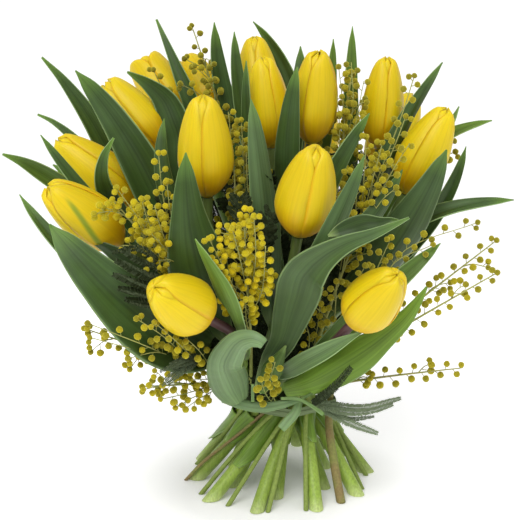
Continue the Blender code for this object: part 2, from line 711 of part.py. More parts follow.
def place_leaves(paths, blocked):
    """Each leaf on one of the nearest stems, bent by small steps until it is clear of its neighbours."""
    stems = {n: p for n, p in paths.items() if n.startswith("stem")}
    leaves = {n: [] for n in stems}
    roots = {n: [] for n in stems}
    for order, (name, (start, via, tip, width, facing, cup)) in enumerate(LEAVES.items()):
        choices = []
        for stem, path in stems.items():
            if len(leaves[stem]) < MOST_LEAVES_ON_A_STEM:
                root, far = nearest_on_path(path, start, LEAF_ROOT_LOW, LEAF_ROOT_HIGH, roots[stem])
                choices.append((far, stem, root))
        choices.sort(key=lambda c: c[0])
        best = None
        for far, stem, root in choices[:5]:
            draw = random.Random(order)
            for attempt in range(48):
                reach = attempt / 48
                cost = reach + far / 0.05
                if best and cost >= best[0]:
                    break
                moves = [np.array([draw.uniform(-1, 1) for _ in range(3)]) * reach for _ in range(3)]
                point = leaf_shape(
                    root,
                    via + 0.030 * moves[0],
                    tip + 0.014 * moves[1],
                    width * (1 - 0.3 * reach),
                    facing + 1.1 * moves[2],
                    cup,
                )
                if twists(point) or not blocked.clear(clearance_mesh(point, 0.03), stem):
                    continue
                if blocked.clear(clearance_mesh(point, 0.19), None):
                    best = (cost, stem, root, point, attempt)
                    break
        if best is None:
            print(f"leaf {name} has no room")
            continue
        _, stem, root, point, attempt = best
        blocked.add(stem, clearance_mesh(point, 0.03))
        leaves[stem].append((name, point))
        roots[stem].append(root[2])
        print(f"leaf {name} on {stem} at attempt {attempt}")
    return leaves


def place_fronds(paths, blocked):
    """Each feathery leaf on its spray, bent by small steps until it is clear of the rest."""
    fronds = {name: [] for name in paths if name.startswith("spray")}
    for order, (name, (spray, start, via, tip, width, facing)) in enumerate(FRONDS.items()):
        spray = "spray_" + spray
        root, _ = nearest_on_path(paths[spray], np.array(start), 0.5 * TIE_HEIGHT, 1.0)
        draw = random.Random(order)
        for attempt in range(90):
            reach = attempt / 90
            moves = [np.array([draw.uniform(-1, 1) for _ in range(3)]) * reach for _ in range(3)]
            point = leaf_shape(
                root,
                via + 0.02 * moves[0],
                tip + 0.02 * moves[1],
                width * (1 - 0.3 * reach),
                facing + moves[2],
                0.5,
            )
            test = clearance_mesh(point, 0.1)
            if blocked.clear(test, spray):
                blocked.add("frond_" + name, clearance_mesh(point, 0.2))
                fronds[spray].append(point)
                print(f"frond {name} at attempt {attempt}")
                break
    return fronds


def leaf_columns(name):
    """A narrow leaf needs no fold line along its middle."""
    return (-1.0, 1.0) if LEAVES[name][3] < NARROW_LEAF else LEAF_COLUMNS


def clearance_mesh(point, first):
    """The blade thickened by its clearance, as two skins, from a share of its length up to its tip."""
    rows = [first, *(t for t in LEAF_ROWS if t > first)]
    columns = (-1.12, 0.0, 1.12)
    grid = np.array([[point(s, t) for s in columns] for t in rows])
    along = np.gradient(grid, axis=0)
    across = np.gradient(grid, axis=1)
    normal = unit(np.cross(along, across))
    offset = 0.5 * LEAF_THICKNESS + LEAF_CLEARANCE
    points = np.vstack([(grid + offset * normal).reshape(-1, 3), (grid - offset * normal).reshape(-1, 3)])
    faces = []
    for skin in range(2):
        for r in range(len(rows) - 1):
            for c in range(len(columns) - 1):
                k = skin * len(rows) * len(columns) + r * len(columns) + c
                below = k + len(columns)
                faces += [(k, k + 1, below + 1), (k, below + 1, below)]
    mesh = bpy.data.meshes.new("clearance")
    mesh.from_pydata(points.tolist(), [], faces)
    return mesh


def twig_pieces(name, start, along, side, length, balls, inflate=0.0):
    """A side twig with a flower ball at its tip and, on a longer one, another half way."""
    end = start + length * (math.cos(TWIG_SPREAD) * along + math.sin(TWIG_SPREAD) * side)
    out = unit(end - start)
    across = unit(np.cross(out, along))
    bm = bmesh.new()
    bmesh.ops.create_cone(
        bm,
        cap_ends=True,
        segments=3,
        radius1=TWIG_R + inflate,
        radius2=TWIG_R + inflate,
        depth=length + TWIG_SUNK,
    )
    bmesh.ops.rotate(bm, verts=bm.verts, matrix=Vector(out).to_track_quat("Z", "Y").to_matrix())
    bmesh.ops.translate(bm, verts=bm.verts, vec=Vector(0.5 * (start + end - TWIG_SUNK * out)))
    mesh = bpy.data.meshes.new(name)
    bm.to_mesh(mesh)
    bm.free()
    pieces = [new_object(name, mesh)]
    for share, way in ((1.0, 0.0), (0.56, 1.0))[:balls]:
        centre = start + share * (end - start) + way * across * (BALL_R * 0.82)
        pieces.append(ball(name, centre, BALL_R + inflate))
    return pieces


def joined_mesh(pieces):
    """The pieces' surfaces as one mesh, for a test of clearance; the pieces are removed."""
    bm = bmesh.new()
    for piece in pieces:
        bm.from_mesh(piece.data)
        bpy.data.objects.remove(piece)
    mesh = bpy.data.meshes.new("test")
    bm.to_mesh(mesh)
    bm.free()
    return mesh


def place_twigs(paths, blocked):
    """Side twigs along the last third of each spray, turned until clear; one with no room is left out."""
    sprays = {}
    for name, path in paths.items():
        if not name.startswith("spray"):
            continue
        fine = smooth_path(path, 101)
        twigs = []
        for k, share in enumerate(np.linspace(FIRST_TWIG, 0.94, TWIGS)):
            index = int(share * 100)
            start = fine[index]
            along = unit(fine[min(index + 1, 100)] - fine[index - 1])
            level = unit(np.cross(along, (0.0, 0.3, 1.0)))
            upright = np.cross(level, along)
            length = TWIG_LENGTH * (1.15 - 0.5 * (share - FIRST_TWIG) / (1 - FIRST_TWIG))
            balls = 1 if k == TWIGS - 1 else 2
            for attempt in range(24):
                turn = GOLDEN_ANGLE * k + (attempt // 2 + 1) * 0.26 * (-1) ** attempt
                side = math.cos(turn) * level + math.sin(turn) * upright
                short = length * (1 - 0.02 * attempt)
                test = joined_mesh(twig_pieces("test", start, along, side, short, balls, CLEARANCE))
                if blocked.clear(test, name):
                    blocked.add(name, test)
                    twigs.append((start, along, side, short, balls))
                    break
        print(f"{name}: {len(twigs)} twigs")
        sprays[name] = twigs
    return sprays


def tie_outline(paths, radii, offset):
    """Points of the smallest loop round all stems at the tie, this far outside them."""
    centres, sizes = [], []
    for name, path in paths.items():
        fine = smooth_path(path, 300)
        sizes_here = np.interp(np.linspace(0, 1, 300), np.linspace(0, 1, STEM_POINTS), radii[name])
        near = np.abs(fine[:, 2] - TIE_HEIGHT) < 0.5 * TIE_BAND_HEIGHT + 0.001
        centres.append(fine[near][:, :2])
        sizes.append(sizes_here[near] * SLANT)
    centres, sizes = np.vstack(centres), np.concatenate(sizes)
    outline = []
    turns = np.linspace(0, 2 * math.pi, TIE_SIDES + 1)[:-1]
    step = 1e-3

    def support(turn):
        way = np.array([math.cos(turn), math.sin(turn)])
        return float((centres @ way + sizes).max()) + offset

    for turn in turns:
        h = support(turn)
        slope = (support(turn + step) - support(turn - step)) / (2 * step)
        c, s = math.cos(turn), math.sin(turn)
        outline.append((h * c - slope * s, h * s + slope * c))
    return outline


def tie_band(paths, radii):
    """A flat band of raffia round the stems: a ring-shaped outline, extruded to the band's height."""
    curve = bpy.data.curves.new("tie_band", "CURVE")
    curve.dimensions = "2D"
    curve.fill_mode = "BOTH"
    curve.extrude = 0.5 * TIE_BAND_HEIGHT
    for offset in (2 * GAP, 2 * GAP + TIE_BAND_THICKNESS):
        outline = tie_outline(paths, radii, offset)
        spline = curve.splines.new("POLY")
        spline.use_cyclic_u = True
        spline.points.add(len(outline) - 1)
        for p, (x, y) in zip(spline.points, outline):
            p.co = (x, y, 0.0, 1.0)
    guide = new_object("guide", curve)
    mesh = evaluated_mesh(guide)
    bpy.data.objects.remove(guide)
    bm = bmesh.new()
    bm.from_mesh(mesh)
    bmesh.ops.remove_doubles(bm, verts=bm.verts, dist=1e-6)
    bmesh.ops.recalc_face_normals(bm, faces=bm.faces)
    bm.to_mesh(mesh)
    bm.free()
    obj = new_object("tie_band", mesh)
    obj.location.z = TIE_HEIGHT
    return obj


def material(name, colour, roughness):
    made = bpy.data.materials.new(name)
    made.use_nodes = True
    shader = made.node_tree.nodes["Principled BSDF"]
    shader.inputs["Base Color"].default_value = (*colour, 1.0)
    shader.inputs["Roughness"].default_value = roughness
    shader.inputs["Metallic"].default_value = 0.0
    made.diffuse_color = (*colour, 1.0)
    return made


def foot_tube(name, path, radii, resolution):
    """A stem's tube, run a little below the floor and then cut level with it."""
    path, radii = needed(path, radii)
    below = path[0] - FLOOR_STEP * unit(path[1] - path[0])
    obj = tube(name, np.vstack([below, path]), np.concatenate([radii[:1], radii]), resolution)
    cut_level(obj, 0.0)
    return obj


def main():
    for obj in list(bpy.data.objects):
        bpy.data.objects.remove(obj)
    petal = material("tulip_petal", (0.86, 0.60, 0.02), 0.45)
    leaf = material("tulip_leaf", (0.09, 0.20, 0.06), 0.45)
    mimosa = material("mimosa_flower", (0.62, 0.47, 0.02), 0.85)
    raffia = material("raffia", (0.45, 0.40, 0.20), 0.8)

    paths, radii = first_paths()
    paths = settle(paths, radii)
    blocked = Obstacles()
    parts = []
    for name, (base, tip, radius, _) in TULIPS.items():
        blocked.add("bloom_" + name, joined_mesh([bloom_hull(base, tip, radius)]))
        parts.append((bloom("bloom_" + name, base, tip, radius), petal))
    for name, path in paths.items():
        kept_path, kept_radii = needed(path, radii[name])
        sides = STEM_SIDES_RESOLUTION if name.startswith("stem") else SPRAY_SIDES_RESOLUTION
        blocked.add(name, joined_mesh([tube("hull", kept_path, kept_radii + CLEARANCE, sides)]))
        if name.startswith("spray"):
            blocked.add(name, joined_mesh([ball("hull", path[-1], BALL_R + CLEARANCE)]))
    band = tie_band(paths, radii)
    test = band.data.copy()
    test.transform(band.matrix_basis)
    blocked.add("tie_band", test)
    parts.append((band, raffia))
    leaves = place_leaves(paths, blocked)
    fronds = place_fronds(paths, blocked)
    twigs = place_twigs(paths, blocked)
    for name in TULIPS:
        key = "stem_" + name
        blades = [
            thin_solid(f"{key}_leaf_{k}", point, leaf_columns(leaf_name), LEAF_ROWS, LEAF_THICKNESS)
            for k, (leaf_name, point) in enumerate(leaves[key])
        ]
        stem = foot_tube(key, paths[key], radii[key], STEM_SIDES_RESOLUTION)
        parts.append((fuse("leafy_stem_" + name, stem, blades), leaf))
    for name in SPRAYS:
        key = "spray_" + name
        stem = foot_tube(key, paths[key], radii[key], SPRAY_SIDES_RESOLUTION)
        additions = [ball(key, paths[key][-1], BALL_R)]
        for point in fronds[key]:
            additions.append(thin_solid(key + "_frond", point, LEAF_COLUMNS, FROND_ROWS, LEAF_THICKNESS))
        for k, twig in enumerate(twigs[key]):
            additions += twig_pieces(f"{key}_twig_{k}", *twig)
        parts.append((fuse("mimosa_" + name, stem, additions), mimosa))
    bunch = bpy.data.collections.new("tulip_bunch")
    bpy.context.scene.collection.children.link(bunch)
    for obj, finish in parts:
        obj.data.materials.clear()
        obj.data.materials.append(finish)
        bpy.context.scene.collection.objects.unlink(obj)
        bunch.objects.link(obj)


main()
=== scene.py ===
"""Hand-tied bunch of yellow tulips with mimosa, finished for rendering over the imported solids.

The stems, leaves and blooms are laid by the same steps as the solids, so each fine piece keeps the form
of the node that it stands for. Metres, +Z up, the front of the bunch towards -Y; the tables of places
are in millimetres.
"""

import functools
import json
import math
import random

import bpy
import numpy as np
from bpy.props import FloatProperty, FloatVectorProperty, IntProperty, PointerProperty
from mathutils import Matrix, Vector
from mathutils.bvhtree import BVHTree

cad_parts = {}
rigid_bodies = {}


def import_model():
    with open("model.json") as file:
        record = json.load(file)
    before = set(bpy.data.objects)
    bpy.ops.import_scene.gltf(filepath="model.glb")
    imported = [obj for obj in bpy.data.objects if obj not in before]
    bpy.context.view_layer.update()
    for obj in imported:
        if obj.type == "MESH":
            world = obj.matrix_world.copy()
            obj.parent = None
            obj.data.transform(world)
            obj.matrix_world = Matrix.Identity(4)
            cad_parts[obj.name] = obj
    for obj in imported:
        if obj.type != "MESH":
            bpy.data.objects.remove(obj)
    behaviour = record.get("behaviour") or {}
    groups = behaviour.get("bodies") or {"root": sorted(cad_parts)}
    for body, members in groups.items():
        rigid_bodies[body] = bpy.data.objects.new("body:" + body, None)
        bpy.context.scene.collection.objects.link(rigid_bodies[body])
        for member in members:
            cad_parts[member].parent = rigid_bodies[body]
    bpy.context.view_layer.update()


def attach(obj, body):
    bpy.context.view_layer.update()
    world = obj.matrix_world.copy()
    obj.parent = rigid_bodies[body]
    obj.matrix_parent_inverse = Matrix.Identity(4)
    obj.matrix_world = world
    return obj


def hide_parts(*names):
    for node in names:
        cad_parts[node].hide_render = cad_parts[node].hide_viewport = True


bl_info = {
    "name": "Bunch of tulips",
    "version": (1, 0, 0),
    "blender": (4, 5, 0),
    "location": "View3D > Sidebar > Bunch",
    "description": "Tulip blooms, leafy stems, mimosa sprays, raffia tie and a studio for them",
    "category": "Add Mesh",
}

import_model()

# Driving dimensions of the bunch, the same as those of the solids
TIE_HEIGHT = 0.058
TIE_BAND_HEIGHT = 0.006
TIE_BAND_THICKNESS = 0.0016
TIE_SIDES = 18
SLANT = 1.05
OUTER_FOOT_RADIUS, INNER_FOOT_RADIUS = 0.059, 0.035
OUTER_TIE_RADIUS, INNER_TIE_RADIUS, SPRAY_TIE_RADIUS = 0.027, 0.014, 0.031
TIE_ROOM = 0.029
SPIRAL_ABOVE_TIE, SPIRAL_BELOW_TIE = math.radians(72), math.radians(52)
FLOOR_STEP = 0.010
GAP = 0.0006
BLOOM_GAP = 0.0005
CLEARANCE, BLOOM_CLEARANCE, LEAF_CLEARANCE = 0.0003, 0.0014, 0.0005
STEM_FOOT_R, STEM_NECK_R = 0.0047, 0.0031
STEM_POINTS = 11
STEM_SIDES_RESOLUTION, SPRAY_SIDES_RESOLUTION = 1, 0
PATH_TOLERANCE = 0.0003
LEAF_THICKNESS = 0.0008
LEAF_TIP_HALF_WIDTH = 0.0009
LEAF_ROWS = (0.0, 0.2, 0.46, 0.75, 1.0)
LEAF_ROOT_LOW, LEAF_ROOT_HIGH = 0.064, 0.175
ROOT_STEP = 0.011
MOST_LEAVES_ON_A_STEM = 4
SPRAY_FOOT_R, SPRAY_TIP_R = 0.0016, 0.0008
SPRAY_ROOM = 0.0034
BALL_R = 0.0022
GOLDEN_ANGLE = math.radians(137.5)

# Steps of the fine stems, and faces across and along each kind of blade
STEM_STEPS, SPRAY_STEPS, STRAND_STEPS = 48, 101, 72
PETAL_GRID, LEAF_GRID, SHEATH_GRID, STRIP_GRID = (16, 30), (14, 54), (10, 26), (8, 30)
# Small parts: the cone that carries the petals, the stalks from their first to their last radius, the
# leaflets of the feathery leaves and the rounded edge of a raffia strand
RECEPTACLE_FOOT_R, RECEPTACLE_TOP_R, RECEPTACLE_HEIGHT = 0.0028, 0.0058, 0.009
SPRIG_R, RACHIS_R, COMB_R = (0.00046, 0.00028), (0.00042, 0.00024), (0.00026, 0.00016)
HEAD_STALK_R = 0.00024
LEAFLET_STEP, LEAFLET_HALF_WIDTH, LEAFLET_HALF_THICKNESS = 0.0009, 0.00054, 0.00013
STRAND_EDGE_R = 0.00018
# The places that the photographed side is seen from and that the camera looks at, and the floor
VIEWER = Vector((-0.012, -1.339, 0.561))
CAMERA_TARGET = Vector((-0.01235, 0.0, 0.1516))
FLOOR_RADIUS, FLOOR_LEVEL, FLOOR_CUT = 8.0, -0.0004, 0.0001
SENSOR_WIDTH = 36.0


def metres(rows):
    """Millimetres as metres, however deep the rows are nested."""
    return rows / 1000 if isinstance(rows, (int, float)) else tuple(metres(row) for row in rows)


# Each bloom: where it sits on its stem, where its petals end, its widest radius, the stem's ring.
TULIPS = {
    "01": ((-66, 45, 238), (-96, 75, 278), 15, "outer"),
    "02": ((-42, 58, 236), (-66, 88, 273), 14.5, "inner"),
    "03": ((-76, 8, 222), (-113, 20, 266), 16, "outer"),
    "04": ((-45, -42, 206), (-47, -47, 273), 17.2, "inner"),
    "05": ((-89, -10, 191), (-139, -8, 232), 16, "outer"),
    "06": ((-99, -45, 176), (-144, -60, 218), 16.5, "outer"),
    "07": ((-41, -82, 137), (-76, -120, 172), 17, "outer"),
    "08": ((-5, 4, 226), (-11, 6, 286), 14.5, "middle"),
    "09": ((20, -6, 231), (25, -8, 293), 14.8, "inner"),
    "10": ((11, -70, 188), (22, -84, 250), 18.8, "inner"),
    "11": ((65, 14, 222), (69, 18, 283), 13.5, "inner"),
    "12": ((80, -10, 199), (107, -6, 255), 14.5, "outer"),
    "13": ((43, -84, 135), (70, -120, 180), 17.2, "outer"),
    "14": ((-11, 42, 232), (-16, 58, 289), 14.5, "inner"),
    "15": ((64, 50, 196), (91, 73, 246), 15.5, "outer"),
    "16": ((21, 80, 186), (31, 116, 236), 16, "outer"),
    "17": ((-44, 80, 180), (-62, 114, 226), 16, "outer"),
}
BLOOMS = {name: metres(row[:3]) for name, row in TULIPS.items()}

# Each leaf: near where it leaves its stem, a point on the way and its tip, then its width, the way its blade
# faces, and whether its edges rise to that side (1) or fold away from it (-1).
LEAVES = {
    "28": ((14, -34, 76), (56, -74, 116), (92, -70, 155), 26, (0.3, -1.0, -0.3), -1),
    "27": ((-10, -36, 72), (-30, -90, 106), (-12, -104, 136), 34, (-0.1, -1.0, 0.3), -1),
    "25": ((-3, -38, 83), (10, -108, 180), (75, -126, 216), 29, (0.2, -1.0, -0.5), 1),
    "07": ((-30, -40, 83), (-98, -88, 153), (-141, -74, 197), 40, (0.1, -1.0, 0.5), 1),
    "16": ((-3, -34, 105), (-10, -54, 213), (-18, -38, 267), 21, (0.4, -1.0, 0.1), -1),
    "12": ((-37, -38, 110), (-58, -82, 205), (-55, -78, 245), 27, (0.0, -1.0, 0.1), -1),
    "03": ((-41, -22, 131), (-91, -24, 231), (-128, -14, 280), 26, (-0.2, -1.0, 0.3), 1),
    "09": ((-35, -6, 147), (-76, -6, 250), (-97, 8, 274), 26, (0.1, -1.0, 0.4), 1),
    "02": ((-48, -5, 126), (-110, 4, 237), (-153, 16, 284), 21, (-0.2, -1.0, 0.3), 1),
    "17": ((6, -15, 163), (5, -28, 248), (11, -22, 284), 18, (-0.3, -1.0, 0.1), -1),
    "21": ((8, -42, 131), (34, -96, 213), (49, -92, 245), 17, (0.3, -1.0, 0.1), -1),
    "23": ((32, -34, 112), (88, -42, 200), (104, -34, 234), 28, (0.3, -1.0, 0.1), -1),
    "26": ((-17, -40, 89), (-35, -98, 156), (-46, -104, 194), 18, (-0.6, -1.0, 0.1), -1),
    "24": ((36, -28, 116), (110, -32, 194), (144, -26, 203), 18, (-0.2, -0.6, 1.0), 1),
    "19": ((30, -15, 136), (79, -14, 229), (100, 0, 286), 17, (0.2, -1.0, 0.1), -1),
    "20": ((16, -32, 158), (40, -52, 238), (55, -46, 260), 16, (0.5, -1.0, 0.3), 1),
    "01": ((-83, -12, 154), (-140, -6, 212), (-177, -12, 225), 18, (0.3, -0.8, 1.0), 1),
    "08": ((-57, -40, 117), (-107, -62, 212), (-103, -44, 244), 16, (-0.3, -1.0, 0.0), -1),
    "06": ((-57, -38, 110), (-121, -60, 176), (-158, -52, 210), 16, (0.4, -1.0, 0.6), 1),
    "05": ((-64, -20, 131), (-129, -24, 212), (-150, -24, 240), 12, (0.4, -1.0, 0.4), 1),
    "04": ((-58, 5, 136), (-129, 22, 221), (-157, 28, 241), 16, (0.2, -1.0, 0.5), 1),
    "11": ((-47, -30, 154), (-67, -44, 230), (-75, -40, 255), 14, (0.2, -1.0, 0.1), -1),
    "31": ((29, -30, 134), (58, -54, 207), (75, -44, 226), 18, (0.4, -1.0, 0.2), -1),
    "32": ((36, -22, 121), (103, -24, 205), (116, -20, 238), 15, (0.3, -1.0, 0.2), 1),
    "22": ((39, -10, 148), (110, 2, 239), (138, 6, 247), 16, (-0.2, -0.8, 1.0), 1),
    "30": ((20, -34, 95), (78, -58, 160), (100, -54, 179), 16, (0.1, -1.0, 0.5), 1),
    "29": ((7, -38, 83), (28, -76, 115), (50, -96, 138), 12, (0.2, -1.0, 0.4), 1),
    "13": ((-19, 8, 163), (-37, 36, 256), (-42, 42, 300), 17, (0.3, -1.0, 0.2), 1),
    "33": ((-16, 5, 164), (-25, 28, 252), (-29, 36, 295), 13, (0.2, -1.0, 0.1), 1),
    "10": ((-35, 20, 173), (-65, 48, 257), (-80, 62, 298), 14, (0.2, -1.0, 0.2), 1),
    "14": ((1, 28, 184), (6, 64, 262), (-17, 76, 294), 14, (-0.5, -1.0, 0.0), 1),
    "15": ((-11, -10, 168), (-20, -12, 248), (-21, -8, 285), 11, (-0.5, -1.0, 0.1), 1),
    "18": ((15, 5, 170), (33, 28, 256), (35, 32, 291), 11, (0.1, -1.0, 0.1), 1),
    "34": ((30, 0, 165), (50, 24, 256), (46, 32, 298), 13, (0.2, -1.0, 0.1), 1),
    "35": ((40, 30, 130), (92, 50, 200), (122, 58, 236), 22, (1.0, 0.8, -0.3), -1),
    "36": ((30, 40, 110), (70, 92, 180), (86, 112, 226), 28, (0.7, 1.0, -0.2), -1),
    "37": ((10, 45, 100), (8, 104, 176), (2, 122, 232), 30, (0.1, 1.0, -0.2), -1),
    "38": ((-30, 40, 110), (-64, 86, 180), (-86, 104, 226), 22, (-0.4, 1.0, -0.2), -1),
    "39": ((-40, 40, 100), (-88, 72, 150), (-128, 84, 190), 30, (-0.6, 1.0, 0.3), -1),
    "40": ((-50, 20, 120), (-112, 40, 180), (-150, 48, 204), 24, (-0.6, 0.8, 0.6), -1),
    "41": ((30, 30, 80), (74, 64, 130), (112, 74, 168), 28, (0.6, 1.0, 0.3), -1),
    "42": ((0, 40, 75), (6, 92, 120), (20, 120, 160), 30, (0.1, 1.0, 0.2), -1),
    "43": ((5, 30, 170), (12, 64, 240), (14, 86, 276), 18, (0.2, 1.0, 0.0), -1),
}

# Each mimosa spray: the point where its side twigs begin, and its tip.
SPRAYS = {
    "01": ((-29, 40, 222), (-57, 52, 296)), "02": ((-62, 40, 180), (-92, 62, 236)),
    "03": ((-56, -50, 141), (-102, -78, 214)), "04": ((-19, -20, 164), (-24, -28, 246)),
    "05": ((-11, -60, 124), (-22, -100, 205)), "06": ((34, 6, 190), (46, 6, 274)),
    "07": ((36, -40, 160), (66, -52, 236)), "08": ((42, -50, 124), (136, -44, 178)),
    "09": ((42, -55, 109), (133, -80, 168)), "10": ((34, -46, 80), (115, -66, 101)),
    "11": ((-48, -55, 109), (-121, -80, 132)), "12": ((-36, -48, 84), (-85, -92, 98)),
    "13": ((66, 40, 160), (112, 28, 226)), "14": ((4, 80, 160), (2, 112, 250)),
}

# The closed bloom's outline: shares of its height, and its radius there as a share of its widest radius.
BLOOM_PROFILE = (
    (0.0, 0.16), (0.07, 0.50), (0.18, 0.80), (0.36, 1.0),
    (0.58, 0.95), (0.78, 0.72), (0.92, 0.44), (1.0, 0.26),
)


def unit(v):
    """The vector or vectors v at length 1."""
    v = np.asarray(v, float)
    return v / np.linalg.norm(v, axis=-1, keepdims=True)


def azimuth(point):
    return math.atan2(point[1], point[0])


def on_circle(radius, angle, z):
    return np.array([radius * math.cos(angle), radius * math.sin(angle), z])


def smooth_path(points, count):
    """count points at even steps along a smooth curve through points."""
    points = np.asarray(points, float)
    ends = np.vstack([2 * points[0] - points[1], points, 2 * points[-1] - points[-2]])
    t = np.linspace(0, 1, 12, endpoint=False)[:, None]
    runs = []
    for a, b, c, d in zip(ends, ends[1:], ends[2:], ends[3:]):
        square = 2 * a - 5 * b + 4 * c - d
        cube = 3 * b - a - 3 * c + d
        runs.append(0.5 * (2 * b + (c - a) * t + square * t**2 + cube * t**3))
    curve = np.vstack([*runs, points[-1:]])
    steps = np.concatenate([[0], np.cumsum(np.linalg.norm(np.diff(curve, axis=0), axis=1))])
    wanted = np.linspace(0, steps[-1], count)
    return np.stack([np.interp(wanted, steps, curve[:, k]) for k in range(3)], axis=1)


def at_share(path, share):
    """The place at a share of the path's points, and the path's direction there."""
    at = share * (len(path) - 1)
    i = min(int(at), len(path) - 2)
    step = path[i + 1] - path[i]
    return path[i] + (at - i) * step, unit(step)


def first_paths():
    """A first path and the radii for every tulip and mimosa stem, laid in a spiral through the tie."""
    paths, radii = {}, {}
    for ring, tie_r, foot_r in (
        ("outer", OUTER_TIE_RADIUS, OUTER_FOOT_RADIUS),
        ("inner", INNER_TIE_RADIUS, INNER_FOOT_RADIUS),
        ("middle", 0.0, 0.0),
    ):
        members = sorted((azimuth(BLOOMS[name][0]), name) for name, t in TULIPS.items() if t[3] == ring)
        shift = np.mean([a - 2 * math.pi * k / len(members) for k, (a, _) in enumerate(members)])
        for k, (_, name) in enumerate(members):
            base, tip = (np.array(p) for p in BLOOMS[name][:2])
            axis = unit(tip - base)
            turn = shift + 2 * math.pi * k / len(members) - SPIRAL_ABOVE_TIE
            foot = on_circle(foot_r, turn - SPIRAL_BELOW_TIE, 0.0)
            tie = on_circle(tie_r, turn, TIE_HEIGHT)
            end = base - BLOOM_GAP * axis
            path = smooth_path([foot, tie, end - 0.03 * axis, end], STEM_POINTS)
            path[-2] = end - np.linalg.norm(path[-1] - path[-2]) * axis
            paths["stem_" + name] = path
            radii["stem_" + name] = np.linspace(STEM_FOOT_R, STEM_NECK_R, STEM_POINTS)
    members = sorted((azimuth(metres(s[0])), name) for name, s in SPRAYS.items())
    for k, (_, name) in enumerate(members):
        start, tip = (np.array(p) for p in metres(SPRAYS[name]))
        turn = -math.pi + 2 * math.pi * k / len(members) - SPIRAL_ABOVE_TIE
        foot = on_circle(OUTER_FOOT_RADIUS, turn - SPIRAL_BELOW_TIE, 0.0)
        tie = on_circle(SPRAY_TIE_RADIUS, turn, TIE_HEIGHT)
        paths["spray_" + name] = smooth_path([foot, tie, start, tip], STEM_POINTS)
        radii["spray_" + name] = np.linspace(SPRAY_FOOT_R, SPRAY_TIP_R, STEM_POINTS)
    return paths, radii


def bloom_balls():
    """Balls that fill each bloom, which the stems of the others are pushed out of."""
    centres, sizes, owners = [], [], []
    for name, (base, tip, radius) in BLOOMS.items():
        for share, size in ((0.12, 0.66), (0.3, 0.98), (0.5, 1.0), (0.7, 0.88), (0.9, 0.6)):
            centres.append(np.array(base) * (1 - share) + np.array(tip) * share)
            sizes.append(radius * size)
            owners.append("stem_" + name)
    return np.array(centres), np.array(sizes), owners


def closest_shares(start_a, run_a, start_b, run_b):
    """How far along each segment, from 0 to 1, each pair of segments lies closest."""
    between = start_a - start_b
    aa, bb, ab = (run_a**2).sum(-1), (run_b**2).sum(-1), (run_a * run_b).sum(-1)
    a_gap, b_gap = (run_a * between).sum(-1), (run_b * between).sum(-1)
    s = np.clip((ab * b_gap - a_gap * bb) / np.maximum(aa * bb - ab**2, 1e-14), 0, 1)
    t = np.clip((ab * s + b_gap) / bb, 0, 1)
    s = np.clip((ab * t - a_gap) / aa, 0, 1)
    return s, t


